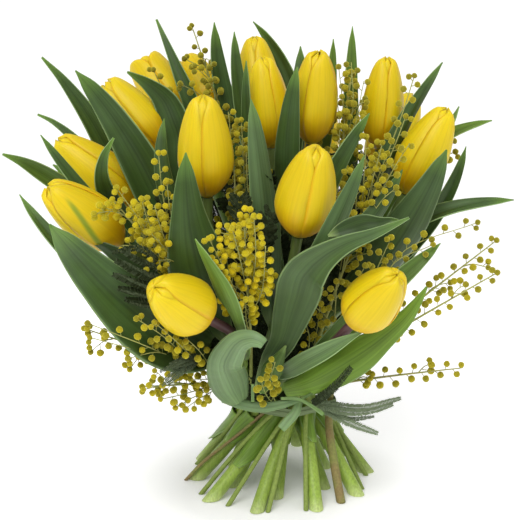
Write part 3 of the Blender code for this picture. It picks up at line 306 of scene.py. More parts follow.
def settle(paths, radii, rounds=420, loose_rounds=120):
    """Draws the stems together at the tie and pushes them apart wherever they touch, as a hand binds them."""
    names = list(paths)
    count = STEM_POINTS
    points = np.vstack([paths[n] for n in names])
    start_points = points.copy()
    room = np.concatenate([radii[n] for n in names])
    spray = np.repeat([n.startswith("spray") for n in names], count)
    place = np.tile(np.arange(count), len(names))
    room = np.where(spray & (place >= count - 4), SPRAY_ROOM, room)
    pinned = place == count - 1
    pinned |= ~spray & (place == count - 2)
    middle = "stem_" + next(n for n, t in TULIPS.items() if t[3] == "middle")
    pinned |= (np.repeat(np.array(names) == middle, count)) & (place <= 1)
    free = (~pinned).astype(float)
    first = np.flatnonzero(place < count - 1)
    owner = first // count
    pair_a, pair_b = np.triu_indices(len(first), 1)
    apart = owner[pair_a] != owner[pair_b]
    a, b = first[pair_a[apart]], first[pair_b[apart]]
    balls, ball_r, ball_owner = bloom_balls()
    ball_index = np.array([names.index(o) for o in ball_owner])
    seg, ball = np.meshgrid(first, np.arange(len(balls)), indexing="ij")
    other = (seg // count) != ball_index[ball]
    seg, ball = seg[other], ball[other]
    inner = np.flatnonzero((place > 0) & (place < count - 1))
    feet = np.flatnonzero(place == 0)

    def push_by(index, share, move):
        for step, weight in ((0, 1 - share), (1, share)):
            np.add.at(push, index + step, move * weight[:, None])
            np.add.at(hits, index + step, weight)

    for k in range(rounds):
        loose = k >= rounds - loose_rounds
        near_tie = np.clip(1 - np.abs(points[:, 2] - TIE_HEIGHT) / 0.030, 0, 1) * free
        pull = np.where(np.hypot(points[:, 0], points[:, 1]) > TIE_ROOM, 0.080, 0.035)
        points[:, :2] *= (1 - (0.004 if loose else pull) * near_tie)[:, None]
        bend = 0.5 * (points[inner - 1] + points[inner + 1]) - points[inner]
        points[inner] += (0.04 if loose else 0.22) * bend * free[inner][:, None]
        points[feet, :2] += 0.05 * (start_points[feet, :2] - points[feet, :2])
        push, hits = np.zeros_like(points), np.zeros(len(points))
        run_a, run_b = points[a + 1] - points[a], points[b + 1] - points[b]
        s, t = closest_shares(points[a], run_a, points[b], run_b)
        gap = points[a] + run_a * s[:, None] - points[b] - run_b * t[:, None]
        far = np.linalg.norm(gap, axis=1)
        need = room[a] * (1 - s) + room[a + 1] * s + room[b] * (1 - t) + room[b + 1] * t + GAP
        hit = np.flatnonzero(far < need)
        for index, share, side in ((a, s, 1.0), (b, t, -1.0)):
            move = side * gap[hit] / np.maximum(far[hit], 1e-9)[:, None] * (0.5 * (need - far)[hit])[:, None]
            push_by(index[hit], share[hit], move)
        run = points[seg + 1] - points[seg]
        s = np.clip(((balls[ball] - points[seg]) * run).sum(-1) / (run**2).sum(-1), 0, 1)
        gap = points[seg] + run * s[:, None] - balls[ball]
        far = np.linalg.norm(gap, axis=1)
        need = room[seg] + ball_r[ball] + 2 * GAP
        hit = np.flatnonzero(far < need)
        move = gap[hit] / np.maximum(far[hit], 1e-9)[:, None] * (need - far)[hit][:, None]
        push_by(seg[hit], s[hit], move)
        points += 1.3 * push / np.maximum(hits, 1)[:, None] * free[:, None]
        points[feet, 2] = 0.0
    return {n: points[k * count : (k + 1) * count] for k, n in enumerate(names)}


def leaf_shape(root, via, tip, width, facing, cup):
    """A function of (s, t) that gives the blade's point: s from edge to edge, -1 to 1, t from root to tip."""
    root, via, tip, facing = (np.asarray(p, float) for p in (root, via, tip, facing))
    middle = np.linalg.norm(via - root) / (np.linalg.norm(via - root) + np.linalg.norm(tip - via))
    control = (via - (1 - middle) ** 2 * root - middle**2 * tip) / (2 * middle * (1 - middle))

    def point(s, t):
        spine = (1 - t) ** 2 * root + 2 * t * (1 - t) * control + t**2 * tip
        along = unit(2 * (1 - t) * (control - root) + 2 * t * (tip - control))
        side = unit(np.cross(along, facing))
        face = np.cross(side, along)
        half = max(0.5 * width * (t + 0.01) ** 0.6 * (1.02 - t) ** 0.8 / 0.401, LEAF_TIP_HALF_WIDTH)
        lift = math.radians((22 + 40 * (1 - t) ** 4) * min(1.0, 4 * (1 - t)))
        return spine + s * half * math.cos(lift) * side + cup * abs(s) * half * math.sin(lift) * face

    return point


def needed(path, radii):
    """The path's points and radii without those that lie on a straight run between their neighbours."""
    kept, spans = {0, len(path) - 1}, [(0, len(path) - 1)]
    while spans:
        a, b = spans.pop()
        if b - a < 2:
            continue
        chord = unit(path[b] - path[a])
        off = path[a + 1 : b] - path[a]
        far = np.linalg.norm(off - np.outer(off @ chord, chord), axis=1)
        if far.max() > PATH_TOLERANCE:
            k = a + 1 + int(far.argmax())
            kept.add(k)
            spans += [(a, k), (k, b)]
    kept = sorted(kept)
    return path[kept], radii[kept]


def skin(points, faces):
    """A surface to test against others: its search tree and the corners of its box."""
    points = np.asarray(points, np.float32)
    return BVHTree.FromPolygons(points.tolist(), faces), points.min(0), points.max(0)


def points_and_faces(mesh):
    points = np.empty(3 * len(mesh.vertices))
    mesh.vertices.foreach_get("co", points)
    return points.reshape(-1, 3), [tuple(p.vertices) for p in mesh.polygons]


def tube_skin(path, radii, resolution):
    """The surface of a closed tube."""
    obj = fine_tubes("hull", [(path, radii)], resolution, None)
    made = skin(*points_and_faces(obj.data))
    bpy.data.objects.remove(obj)
    return made


def leaf_skin(point, first):
    """The blade thickened by its clearance, as two surfaces, from a share of its length up to its tip."""
    rows = [first, *(t for t in LEAF_ROWS if t > first)]
    columns = (-1.12, 0.0, 1.12)
    grid = np.array([[point(s, t) for s in columns] for t in rows])
    normal = unit(np.cross(np.gradient(grid, axis=0), np.gradient(grid, axis=1)))
    offset = (0.5 * LEAF_THICKNESS + LEAF_CLEARANCE) * normal
    faces = []
    for side in range(2):
        for r in range(len(rows) - 1):
            for c in range(len(columns) - 1):
                k = (side * len(rows) + r) * len(columns) + c
                below = k + len(columns)
                faces += [(k, k + 1, below + 1), (k, below + 1, below)]
    return skin(np.vstack([(grid + offset).reshape(-1, 3), (grid - offset).reshape(-1, 3)]), faces)


def is_free(made, blocked, owner):
    """Whether a surface crosses none of those already in place, apart from its owner's own."""
    tree, low, high = made
    return not any(
        other != owner and (low <= other_high).all() and (high >= other_low).all() and tree.overlap(other_tree)
        for other, (other_tree, other_low, other_high) in blocked
    )


def nearest_on_path(path, point, low, high, taken):
    """The point of the path nearest to point, between two heights and clear of the heights already taken."""
    fine = smooth_path(path, 80)
    free = (fine[:, 2] > low) & (fine[:, 2] < high)
    for height in taken:
        free &= np.abs(fine[:, 2] - height) > ROOT_STEP
    fine = fine[free]
    distance = np.linalg.norm(fine - point, axis=1)
    return fine[distance.argmin()], distance.min()


def twists(point):
    """Whether the blade turns so sharply between two rows that it would fold through itself."""
    sides = [unit(np.subtract(point(1, t), point(-1, t))) for t in LEAF_ROWS]
    return any(float(a @ b) < 0.72 for a, b in zip(sides, sides[1:]))


def place_leaves(paths, blocked):
    """Each leaf on one of the nearest stems, bent by small steps until it is clear of its neighbours."""
    stems = {n: p for n, p in paths.items() if n.startswith("stem")}
    leaves = {n: [] for n in stems}
    roots = {n: [] for n in stems}
    for order, (name, (*lengths, facing, cup)) in enumerate(LEAVES.items()):
        start, via, tip, width = metres(lengths)
        choices = []
        for stem, path in stems.items():
            if len(leaves[stem]) < MOST_LEAVES_ON_A_STEM:
                root, far = nearest_on_path(path, start, LEAF_ROOT_LOW, LEAF_ROOT_HIGH, roots[stem])
                choices.append((far, stem, root))
        choices.sort(key=lambda c: c[0])
        best = None
        for far, stem, root in choices[:5]:
            draw = random.Random(order)
            for attempt in range(48):
                reach = attempt / 48
                cost = reach + far / 0.05
                if best and cost >= best[0]:
                    break
                moves = [np.array([draw.uniform(-1, 1) for _ in range(3)]) * reach for _ in range(3)]
                bent = via + 0.030 * moves[0], tip + 0.014 * moves[1], width * (1 - 0.3 * reach)
                point = leaf_shape(root, *bent, facing + 1.1 * moves[2], cup)
                if twists(point) or not is_free(leaf_skin(point, 0.03), blocked, stem):
                    continue
                if is_free(leaf_skin(point, 0.19), blocked, None):
                    best = (cost, stem, root, point)
                    break
        if best:
            _, stem, root, point = best
            blocked.append((stem, leaf_skin(point, 0.03)))
            leaves[stem].append((name, point))
            roots[stem].append(root[2])
    return leaves


def tie_outline(paths, radii, offset):
    """Points of the smallest loop round all stems at the tie, this far outside them."""
    centres, sizes = [], []
    for name, path in paths.items():
        fine = smooth_path(path, 300)
        sizes_here = np.interp(np.linspace(0, 1, 300), np.linspace(0, 1, STEM_POINTS), radii[name])
        near = np.abs(fine[:, 2] - TIE_HEIGHT) < 0.5 * TIE_BAND_HEIGHT + 0.001
        centres.append(fine[near][:, :2])
        sizes.append(sizes_here[near] * SLANT)
    centres, sizes = np.vstack(centres), np.concatenate(sizes)
    outline = []
    step = 1e-3

    def support(turn):
        way = np.array([math.cos(turn), math.sin(turn)])
        return float((centres @ way + sizes).max()) + offset

    for turn in np.linspace(0, 2 * math.pi, TIE_SIDES + 1)[:-1]:
        h = support(turn)
        slope = (support(turn + step) - support(turn - step)) / (2 * step)
        c, s = math.cos(turn), math.sin(turn)
        outline.append((h * c - slope * s, h * s + slope * c))
    return outline


def tie_skin(paths, radii):
    """The surface of a flat band round the stems."""
    points = []
    for out, rise in ((0, -0.5), (0, 0.5), (1, 0.5), (1, -0.5)):
        outline = tie_outline(paths, radii, 2 * GAP + out * TIE_BAND_THICKNESS)
        points += [(x, y, TIE_HEIGHT + rise * TIE_BAND_HEIGHT) for x, y in outline]
    faces = []
    for edge in range(4):
        for k in range(TIE_SIDES):
            here, ahead = edge * TIE_SIDES, (edge + 1) % 4 * TIE_SIDES
            faces.append((here + k, here + (k + 1) % TIE_SIDES, ahead + (k + 1) % TIE_SIDES, ahead + k))
    return skin(points, faces)


@functools.cache
def laid_out():
    """The stems' paths and radii, and the leaves on each tulip stem."""
    paths, radii = first_paths()
    paths = settle(paths, radii)
    blocked = []
    for name, (base, tip, radius) in BLOOMS.items():
        base, tip = np.array(base), np.array(tip)
        path = [base + (tip - base) * h for h, _ in BLOOM_PROFILE]
        hull = tube_skin(path, [radius * w + BLOOM_CLEARANCE for _, w in BLOOM_PROFILE], 3)
        blocked.append(("bloom_" + name, hull))
    for name, path in paths.items():
        kept_path, kept_radii = needed(path, radii[name])
        sides = STEM_SIDES_RESOLUTION if name.startswith("stem") else SPRAY_SIDES_RESOLUTION
        blocked.append((name, tube_skin(kept_path, kept_radii + CLEARANCE, sides)))
        if name.startswith("spray"):
            bpy.ops.mesh.primitive_ico_sphere_add(subdivisions=1, radius=BALL_R + CLEARANCE)
            points, faces = points_and_faces(bpy.context.object.data)
            bpy.data.objects.remove(bpy.context.object)
            blocked.append((name, skin(points + path[-1], faces)))
    blocked.append(("tie_band", tie_skin(paths, radii)))
    return paths, radii, place_leaves(paths, blocked)


@functools.cache
def solids_around():
    """One search tree over the finished blooms and leafy stems, to keep flower balls out of them."""
    points, faces = [], []
    for obj in bpy.data.objects:
        if obj.name.startswith(("fine_bloom_", "fine_leafy_stem_")):
            more_points, more_faces = points_and_faces(obj.data)
            faces += [tuple(len(points) + k for k in face) for face in more_faces]
            points += more_points.tolist()
    return BVHTree.FromPolygons(points, faces)


def linear(hex_colour):
    """An sRGB hex colour as linear red, green and blue."""
    channels = (int(hex_colour[k : k + 2], 16) / 255 for k in (1, 3, 5))
    return tuple(c / 12.92 if c <= 0.04045 else ((c + 0.055) / 1.055) ** 2.4 for c in channels)


def rgba(colour):
    return (*colour[:3], 1.0)


def add_node(tree, kind, sockets, stops=(), **settings):
    """Adds a node with its settings and, for a ramp, its (place, colour) stops; each socket gets a value, or
    a link where an output is given. Returns the node's outputs."""
    made = tree.nodes.new("ShaderNode" + kind)
    for key, value in settings.items():
        setattr(made, key, value)
    if stops:
        marks = made.color_ramp.elements
        while len(marks) < len(stops):
            marks.new(0.5)
        for mark, (place, colour) in zip(marks, stops):
            mark.position = place
            mark.color = rgba(colour)
    for key, value in sockets.items():
        socket = made.inputs[key]
        if isinstance(value, bpy.types.NodeSocket):
            tree.links.new(value, socket)
        else:
            socket.default_value = rgba(value) if socket.type == "RGBA" else value
    return made.outputs


def new_material(name, roughness, specular, **more):
    """A material with the values that are the same all over set on its shader, and what adds its nodes."""
    made = bpy.data.materials.new(name)
    made.use_nodes = True
    shader = made.node_tree.nodes["Principled BSDF"]
    for key, value in {"Roughness": roughness, "Specular_IOR_Level": specular, **more}.items():
        socket = shader.inputs[key.replace("_", " ")]
        socket.default_value = rgba(value) if socket.type == "RGBA" else value
    return made, functools.partial(add_node, made.node_tree)


def connected(made, outputs):
    """The material, with these outputs linked to its shader."""
    tree = made.node_tree
    for key, output in outputs.items():
        tree.links.new(output, tree.nodes["Principled BSDF"].inputs[key])
    return made


def fibres(node, places, scale, detail):
    """A pattern of streaks: noise stretched by scale."""
    stretched = node("Mapping", {"Vector": places, "Scale": scale})[0]
    return node("TexNoise", {"Vector": stretched, "Scale": 1.0, "Detail": detail})["Fac"]


def blade_places(node, scale, detail):
    """A blade's own places, the share along and across it, how far from its middle, and its veins."""
    places = node("UVMap", {})["UV"]
    across, along, _ = node("SeparateXYZ", {0: places})
    offset = node("Math", {0: across, 1: 0.5}, operation="SUBTRACT")[0]
    from_middle = node("Math", {0: offset}, operation="ABSOLUTE")[0]
    return places, along, across, from_middle, fibres(node, places, scale, detail)


# How a range is spread: eased at both ends, or going on past them.
SMOOTH, OPEN = {"interpolation_type": "SMOOTHSTEP"}, {"clamp": False}
# The range of a pattern of fine noise, and that of a piece's own tone.
GRAIN, TONES = (0.3, 0.7), (-1.0, 1.0)


def coats(node, body, *rows):
    """The colour body under its coats. (factor, colour) lays a colour over it; (factor, range, range) makes
    it darker or brighter, by the factor spread from the first range to the second. A factor is an output or
    the name of what is painted on the piece."""
    for factor, *coat in rows:
        if isinstance(factor, str):
            factor = node("Attribute", {}, attribute_name=factor)["Fac"]
        colour, how = coat[0], "MIX"
        if len(coat) > 1:
            (low, high), (dark, bright), *settings = coat
            spread = {0: factor, 1: low, 2: high, 3: dark, 4: bright}
            factor, colour, how = 1.0, node("MapRange", spread, **dict(*settings))[0], "MULTIPLY"
        sockets = {0: factor, 6: body, 7: colour}
        body = node("Mix", sockets, data_type="RGBA", blend_type=how, clamp_factor=True)[2]
    return body


def petal_material(look):
    """Tulip petal, grown, satin: warm yellow, deeper gold towards base and edges, partly its own colour and
    partly painted shade in the grooves between petals and under the bloom, with fine long veins.
    Light passes a little way into the thin flesh, which keeps the shaded side warm."""
    made, node = new_material(
        "tulip petal, grown, satin", 0.42, 0.28, Subsurface_Weight=0.35, Subsurface_Radius=(1.0, 0.60, 0.05),
        Subsurface_Scale=0.0030, Sheen_Weight=0.06, Sheen_Roughness=0.4, Sheen_Tint=linear("#FFF3A8"),
    )
    # The veins are 0.5 mm apart on the flower, drawn at 1.2 mm so that they show.
    _, along, across, from_middle, veins = blade_places(node, (28.0, 1.6, 1.0), 3.0)
    # From foot to tip: the green foot, then deeper gold low on the bloom, partly painted shade under it, then
    # the body and the tip.
    foot_to_tip = (
        (0.0, look.petal_foot_colour), (0.10, look.petal_gold_and_shade_colour), (0.42, look.petal_colour),
        (0.86, look.petal_colour), (1.0, look.petal_tip_colour),
    )
    body = node("ValToRGB", {0: along}, foot_to_tip)["Color"]
    # Deeper gold along the edges: painted shade in the grooves where the petals meet.
    edge = node("MapRange", {0: from_middle, 1: 0.43, 2: 0.5, 3: 0.0, 4: 0.75}, **SMOOTH)[0]
    # A green flame, left from the bud, about 3 mm wide: it runs down the petal towards one edge.
    flame_line = node("Math", {0: along, 1: 0.5, 2: 0.02}, operation="MULTIPLY_ADD")[0]
    beside = node("Math", {0: across, 1: flame_line}, operation="SUBTRACT")[0]
    from_flame = node("Math", {0: beside}, operation="ABSOLUTE")[0]
    near = node("MapRange", {0: from_flame, 1: 0.012, 2: 0.085, 3: 1.0, 4: 0.0}, **SMOOTH)[0]
    low = node("MapRange", {0: along, 1: 0.7, 2: 0.88, 3: 1.0, 4: 0.0}, **SMOOTH)[0]
    both = node("Math", {0: near, 1: low}, operation="MULTIPLY")[0]
    flame = node("Attribute", {}, attribute_name="bud_green")["Fac"]
    burnt = node("Math", {0: both, 1: flame}, operation="MULTIPLY")[0]
    body = coats(
        node, body, (edge, look.petal_gold_and_shade_colour), (burnt, look.petal_flame_colour),
        (veins, GRAIN, (0.92, 1.05)), ("tone", TONES, (0.92, 1.05), OPEN),
    )
    bump = node("Bump", {"Height": veins, "Strength": 0.22, "Distance": 0.0005})[0]
    return connected(made, {"Base Color": body, "Normal": bump})


def leaf_material(look):
    """Tulip leaf, grown, waxy: blue-green with a grey wax bloom, parallel veins, painted shade along the middle
    fold and a painted highlight along the rim.
    The wax makes a wide soft sheen, and a little light passes through the blade; where more shines through, a
    paler green is painted."""
    made, node = new_material(
        "tulip leaf, grown, waxy bloom", 0.42, 0.26, Subsurface_Weight=0.10,
        Subsurface_Radius=(0.45, 1.0, 0.15), Subsurface_Scale=0.0015,
        Sheen_Weight=0.05, Sheen_Roughness=0.45, Sheen_Tint=linear("#D5E4C8"),
    )
    # The veins are 1 to 1.5 mm apart on the leaf: about 16 across a blade of 22 mm.
    places, along, _, from_middle, veins = blade_places(node, (16.0, 1.1, 1.0), 4.0)
    # Broad long bands, four across the blade, where it folds and fills: painted light and shade, lighter and
    # darker.
    bands = fibres(node, places, (4.0, 0.9, 1.0), 1.0)
    foot_to_tip = (
        (0.0, look.leaf_foot_colour), (0.16, look.leaf_colour),
        (0.88, look.leaf_colour), (1.0, look.leaf_tip_colour),
    )
    body = node("ValToRGB", {0: along}, foot_to_tip)["Color"]
    # The wax lies in patches of about 20 mm.
    where = node("TexCoord", {})["Object"]
    wax = node("TexNoise", {"Vector": where, "Scale": 55.0, "Detail": 5.0})["Fac"]
    dusted = node("MapRange", {0: wax, 1: 0.35, 2: 0.75, 3: 0.0, 4: 0.30})[0]
    # A painted highlight along the rim, where its wax catches the light.
    rim_highlight = node("MapRange", {0: from_middle, 1: 0.455, 2: 0.5, 3: 0.0, 4: 0.7}, **SMOOTH)[0]
    body = coats(
        node, body, (dusted, look.leaf_wax_colour), ("young", look.leaf_backlit_and_pale_colour),
        ("underside", look.leaf_underside_colour), (rim_highlight, look.leaf_rim_highlight_colour),
        # Darker along the middle of the blade: painted shade in its fold.
        (from_middle, (0.0, 0.035), (0.78, 1.0), SMOOTH), (veins, GRAIN, (0.76, 1.24)),
        (bands, GRAIN, (0.80, 1.20)), ("tone", TONES, (0.62, 1.5), OPEN),
    )
    bump = node("Bump", {"Height": veins, "Strength": 0.35, "Distance": 0.0006})[0]
    return connected(made, {"Base Color": body, "Normal": bump})


def stem_material(look):
    """Tulip stem, grown, smooth: pale yellow-green at the cut foot, greener above, with fine long streaks.
    Some necks are flushed purple under the flower."""
    made, node = new_material(
        "tulip stem, grown, smooth", 0.40, 0.30,
        Subsurface_Weight=0.15, Subsurface_Radius=(0.6, 1.0, 0.25), Subsurface_Scale=0.002,
    )
    where = node("TexCoord", {})["Object"]
    height = node("MapRange", {0: node("SeparateXYZ", {0: where})["Z"], 1: 0.0, 2: 0.2})[0]
    foot_to_top = (
        (0.0, look.stem_cut_colour), (0.04, look.stem_foot_colour), (0.24, look.stem_foot_colour),
        (0.45, look.stem_colour), (1.0, look.stem_colour),
    )
    body = node("ValToRGB", {0: height}, foot_to_top)["Color"]
    # Fibres about 0.7 mm apart and some centimetres long.
    streaks = fibres(node, where, (900.0, 900.0, 45.0), 3.0)
    body = coats(
        node, body, (streaks, GRAIN, (0.78, 1.15)), ("tone", TONES, (0.80, 1.18), OPEN),
        ("flush", look.stem_flush_colour),
    )
    bump = node("Bump", {"Height": streaks, "Strength": 0.25, "Distance": 0.0004})[0]
    return connected(made, {"Base Color": body, "Normal": bump})


def ball_material(look):
    """Mimosa flower head, grown, fluffy: a puff of fine stamens, olive to mustard yellow, dull all over.
    The sheen gives the pale rim of its fluff."""
    made, node = new_material(
        "mimosa flower head, grown, fluffy", 0.9, 0.1, Subsurface_Weight=0.12,
        Subsurface_Radius=(1.0, 0.8, 0.1), Subsurface_Scale=0.0008,
        Sheen_Weight=1.0, Sheen_Roughness=0.55, Sheen_Tint=linear("#FFF05E"),
    )
    # The stamens' tips are 0.25 mm apart, drawn at 0.7 mm so that they show.
    where = node("TexCoord", {})["Object"]
    tips = node("TexVoronoi", {"Vector": where, "Scale": 1400.0})["Distance"]
    tone = node("Attribute", {}, attribute_name="tone")["Fac"]
    share = node("MapRange", {0: tone, 1: -1.0, 2: 1.0})[0]
    bud_to_bright = (
        (0.0, look.ball_bud_colour), (0.35, look.ball_shade_colour),
        (0.75, look.ball_colour), (1.0, look.ball_bright_colour),
    )
    body = node("ValToRGB", {0: share}, bud_to_bright)["Color"]
    # Brighter at each stamen's tip, darker between them: painted shade in the gaps of the fluff.
    body = coats(node, body, (tips, (0.0, 0.7), (1.12, 0.74)))
    bump = node("Bump", {"Height": tips, "Strength": 0.6, "Distance": 0.0004}, invert=True)[0]
    return connected(made, {"Base Color": body, "Normal": bump})


def twig_material(look):
    """Mimosa twig, grown: brown bark near the cut, then dull green, and yellow-green where it flowers."""
    made, node = new_material("mimosa twig, grown, bark to green", 0.7, 0.3)
    where = node("TexCoord", {})["Object"]
    height = node("MapRange", {0: node("SeparateXYZ", {0: where})["Z"], 1: 0.05, 2: 0.12})[0]
    # Patches of about 10 mm where the green shows through the bark, and bark flecks of about 1.5 mm.
    patches = node("TexNoise", {"Vector": where, "Scale": 90.0, "Detail": 1.0})["Fac"]
    worn = node("MapRange", {0: patches, 1: 0.4, 2: 0.65, 3: 1.0, 4: 0.45})[0]
    flecks = node("TexNoise", {"Vector": where, "Scale": 650.0, "Detail": 3.0})["Fac"]
    bark = coats(node, look.green_wood_colour, (worn, look.bark_colour))
    body = coats(
        node, look.green_wood_colour,
        ("tone", bark), (height, look.twig_colour), (flecks, GRAIN, (0.82, 1.12)),
    )
    return connected(made, {"Base Color": body})


def feathery_material(look):
    """Mimosa leaf, grown, dull: leaflets from dark olive, painted shade in the heart, to grey-green where the
    light falls.
    """
    made, node = new_material("mimosa leaf, grown, dull", 0.8, 0.12)
    tone = node("Attribute", {}, attribute_name="tone")["Fac"]
    share = node("MapRange", {0: tone, 1: -1.0, 2: 1.0}, **OPEN)[0]
    return connected(made, {"Base Color": coats(node, look.frond_shade_colour, (share, look.frond_colour))})


def raffia_material(look):
    """Raffia, split palm leaf, dried: straw to green-grey, with fine fibres along it."""
    made, node = new_material("raffia, split and dried", 0.75, 0.3)
    # Fibres about 0.5 mm apart.
    streaks = fibres(node, node("TexCoord", {})["Object"], (60.0, 60.0, 1600.0), 3.0)
    return connected(made, {"Base Color": coats(node, look.raffia_colour, (streaks, GRAIN, (0.6, 1.2)))})


# The middle of the shadow round the stem ends, where the painted glow of the floor is weakest.
SHADOW_MIDDLE = (-0.012, -0.030, 0.0)


def floor_material(look):
    """Seamless paper, matt white, with a painted glow that makes it read white: weak at the stems, leaving a
    soft shadow there, and strong in a ring round them, washing out the bunch's cast shadow.
    """
    made, node = new_material(
        "seamless paper, matt white, back-lit", 0.9, 0.1,
        Base_Color=look.floor_colour, Emission_Color=(1.0, 1.0, 1.0),
    )
    where = node("TexCoord", {})["Object"]
    away = node("VectorMath", {0: where, 1: SHADOW_MIDDLE}, operation="DISTANCE")["Value"]
    near, round_it = (look.painted_floor_glow,) * 3, (look.painted_ring_glow,) * 3
    # The painted glow: weak at the stems, strong in a ring round them where the bunch's shadow falls, weak
    # again far out.
    stops = (0.05, near), (0.115, round_it), (0.34, round_it), (0.55, near)
    return connected(made, {"Emission Strength": node("ValToRGB", {0: away}, stops)["Color"]})


def deselect():
    bpy.ops.object.select_all(action="DESELECT")


def only(obj):
    """Makes obj the one selected and active object."""
    deselect()
    obj.select_set(True)
    bpy.context.view_layer.objects.active = obj


def joined(name, pieces):
    """The pieces as one object."""
    only(pieces[0])
    for piece in pieces:
        piece.select_set(True)
    if len(pieces) > 1:
        bpy.ops.object.join()
    made = bpy.context.object
    made.name = made.data.name = name
    return made


def paint(obj, **values):
    """Stores numbers at each vertex, which the materials read."""
    for name, value in values.items():
        layer = obj.data.attributes.new(name, "FLOAT", "POINT")
        shape = (len(obj.data.vertices),)
        layer.data.foreach_set("value", np.broadcast_to(np.asarray(value, np.float32), shape).copy())


def edited(*steps):
    """Runs the steps, each a mesh operator and its settings, on the whole of the active object."""
    bpy.ops.object.mode_set(mode="EDIT")
    bpy.ops.mesh.select_all(action="SELECT")
    for operator, settings in steps:
        operator(**settings)
    bpy.ops.object.mode_set(mode="OBJECT")


def cut_at_floor():
    """Cuts the active stem off flat, just above the floor."""
    plane = {"plane_co": (0, 0, FLOOR_CUT), "plane_no": (0, 0, -1)}
    edited((bpy.ops.mesh.bisect, {**plane, "use_fill": True, "clear_outer": True, "threshold": 1e-7}))


def blade(name, size, row_points, thickness, finish, **painted):
    """A thin closed blade: a grid bent to row_points(s, t) and thickened, s across and t along."""
    columns, rows = size
    bpy.ops.mesh.primitive_grid_add(x_subdivisions=columns, y_subdivisions=rows, size=2.0)
    obj = bpy.context.object
    obj.name = name
    points, _ = points_and_faces(obj.data)
    s = np.linspace(-1, 1, columns + 1)
    column = np.rint((points[:, 0] + 1) * columns / 2).astype(int)
    row = np.rint((points[:, 1] + 1) * rows / 2).astype(int)
    grid = np.array([row_points(s, t) for t in np.linspace(0, 1, rows + 1)])
    obj.data.vertices.foreach_set("co", grid[row, column].ravel())
    obj.data.update()
    only(obj)
    solid = obj.modifiers.new("thickness", "SOLIDIFY")
    solid.thickness = thickness
    solid.offset = 0.0
    bpy.ops.object.modifier_apply(modifier=solid.name)
    bpy.ops.object.shade_smooth()
    obj.data.materials.append(finish)
    paint(obj, **painted)
    return obj


def swept(name, runs, finish, closed=False, **section):
    """One mesh swept along the path of each run, by that run's radii."""
    deselect()
    bpy.ops.curve.primitive_bezier_curve_add()
    obj = bpy.context.object
    obj.name = name
    obj.data.splines.clear()
    for key, value in section.items():
        setattr(obj.data, key, value)
    for path, radii in runs:
        count = len(path)
        spline = obj.data.splines.new("POLY")
        spline.points.add(count - 1)
        spline.points.foreach_set("co", np.hstack([path, np.ones((count, 1))]).ravel())
        spline.points.foreach_set("radius", np.broadcast_to(np.asarray(radii, float), (count,)).copy())
        spline.use_smooth = True
        spline.use_cyclic_u = closed
    only(obj)
    bpy.ops.object.convert(target="MESH")
    merge = bpy.ops.mesh.remove_doubles, {"threshold": 1e-6}
    edited(merge, (bpy.ops.mesh.normals_make_consistent, {"inside": False}))
    bpy.ops.object.shade_smooth()
    obj.data.materials.clear()
    obj.data.materials.append(finish)
    return obj


def fine_tubes(name, runs, resolution, finish):
    """One mesh of round tubes, each along its path with its own radii."""
    return swept(name, runs, finish, bevel_depth=1.0, bevel_resolution=resolution, use_fill_caps=True)


def copies(name, master, places, tones, finish):
    """Copies of the master's mesh, one at each matrix in places, each with its own tone."""
    corners, faces = points_and_faces(master.data)
    count = len(corners)
    corners = np.hstack([corners, np.ones((count, 1))])
    points = np.einsum("nij,vj->nvi", np.asarray(places), corners)[..., :3].reshape(-1, 3)
    mesh = bpy.data.meshes.new(name)
    every_face = [tuple(k * count + v for v in face) for k in range(len(places)) for face in faces]
    mesh.from_pydata(points.tolist(), [], every_face)
    obj = bpy.data.objects.new(name, mesh)
    bpy.context.scene.collection.objects.link(obj)
    paint(obj, tone=np.repeat(tones, count))
    only(obj)
    bpy.ops.object.shade_smooth()
    mesh.materials.append(finish)
    return obj


def turned(along, facing, centre, size):
    """A 4 x 4 matrix with its Z along, its X across facing, scaled by size and set at centre."""
    along = unit(along)
    side = unit(np.cross(along, facing))
    made = np.eye(4)
    made[:3, 0], made[:3, 1], made[:3, 2] = side * size[0], np.cross(along, side) * size[1], along * size[2]
    made[:3, 3] = centre
    return made


# The seam between two outer petals, in degrees round the bloom from the side that faces the viewer.
SEAMS = {
    "01": 10, "02": -25, "03": 5, "04": -6, "05": 30, "06": -48, "07": 4, "08": 25, "09": -22,
    "10": 9, "11": 14, "12": -12, "13": -24, "14": 0, "15": 20, "16": 40, "17": -30,
}
# How far the petals' tips stand apart, for the blooms that have begun to open.
OPENNESS = {"01": 0.9, "02": 0.5, "03": 0.3, "06": 0.12, "09": 0.15, "11": 0.05}
# Blooms that are squatter or slimmer than their solid: how much shorter at the foot and at the tip,
# as shares of its length, and how much wider.
AS_SOLID = (0.0, 0.0, 1.0)
SQUAT = {
    "01": (-0.08, 0.18, 1.0), "02": (-0.05, 0.14, 1.0), "05": (0.0, -0.08, 1.04), "07": (0.13, 0.0, 1.07),
    "10": (0.01, 0.0, 0.96), "12": (0.0, 0.0, 1.10), "13": (0.07, 0.0, 0.98),
}
# Blooms with a green flame on one petal, and stems with a strong purple flush under the bloom.
FLAMED, FLUSHED = ("06",), ("07", "13")
# Blooms a little lighter or darker than the rest: a tone from -1 to 1.
BLOOM_TONES = {"04": -0.2, "08": 0.6, "10": -0.9, "12": 0.5, "13": -0.6}

# The fine bloom's outline: blunter than the solid's at the top, where the petals close over each other.
FINE_PROFILE = (
    (0.0, 0.17), (0.035, 0.36), (0.08, 0.54), (0.18, 0.82), (0.32, 1.0), (0.50, 0.98),
    (0.66, 0.87), (0.80, 0.71), (0.91, 0.53), (0.97, 0.37), (1.0, 0.07),
)


# The outer and the inner petals: how far in they lie, their width and length as shares, and how much of
# the bloom's openness they show.
PETAL_LAYERS = (0.0, 1.0, 0.99, 1.0), (0.0011, 0.92, 0.98, 0.5)


@functools.cache
def fine_profile():
    """The bloom's outline as a smooth curve: heights and radii."""
    curve = smooth_path([(h, w, 0.0) for h, w in FINE_PROFILE], 160)
    return curve[:, 0], curve[:, 1]


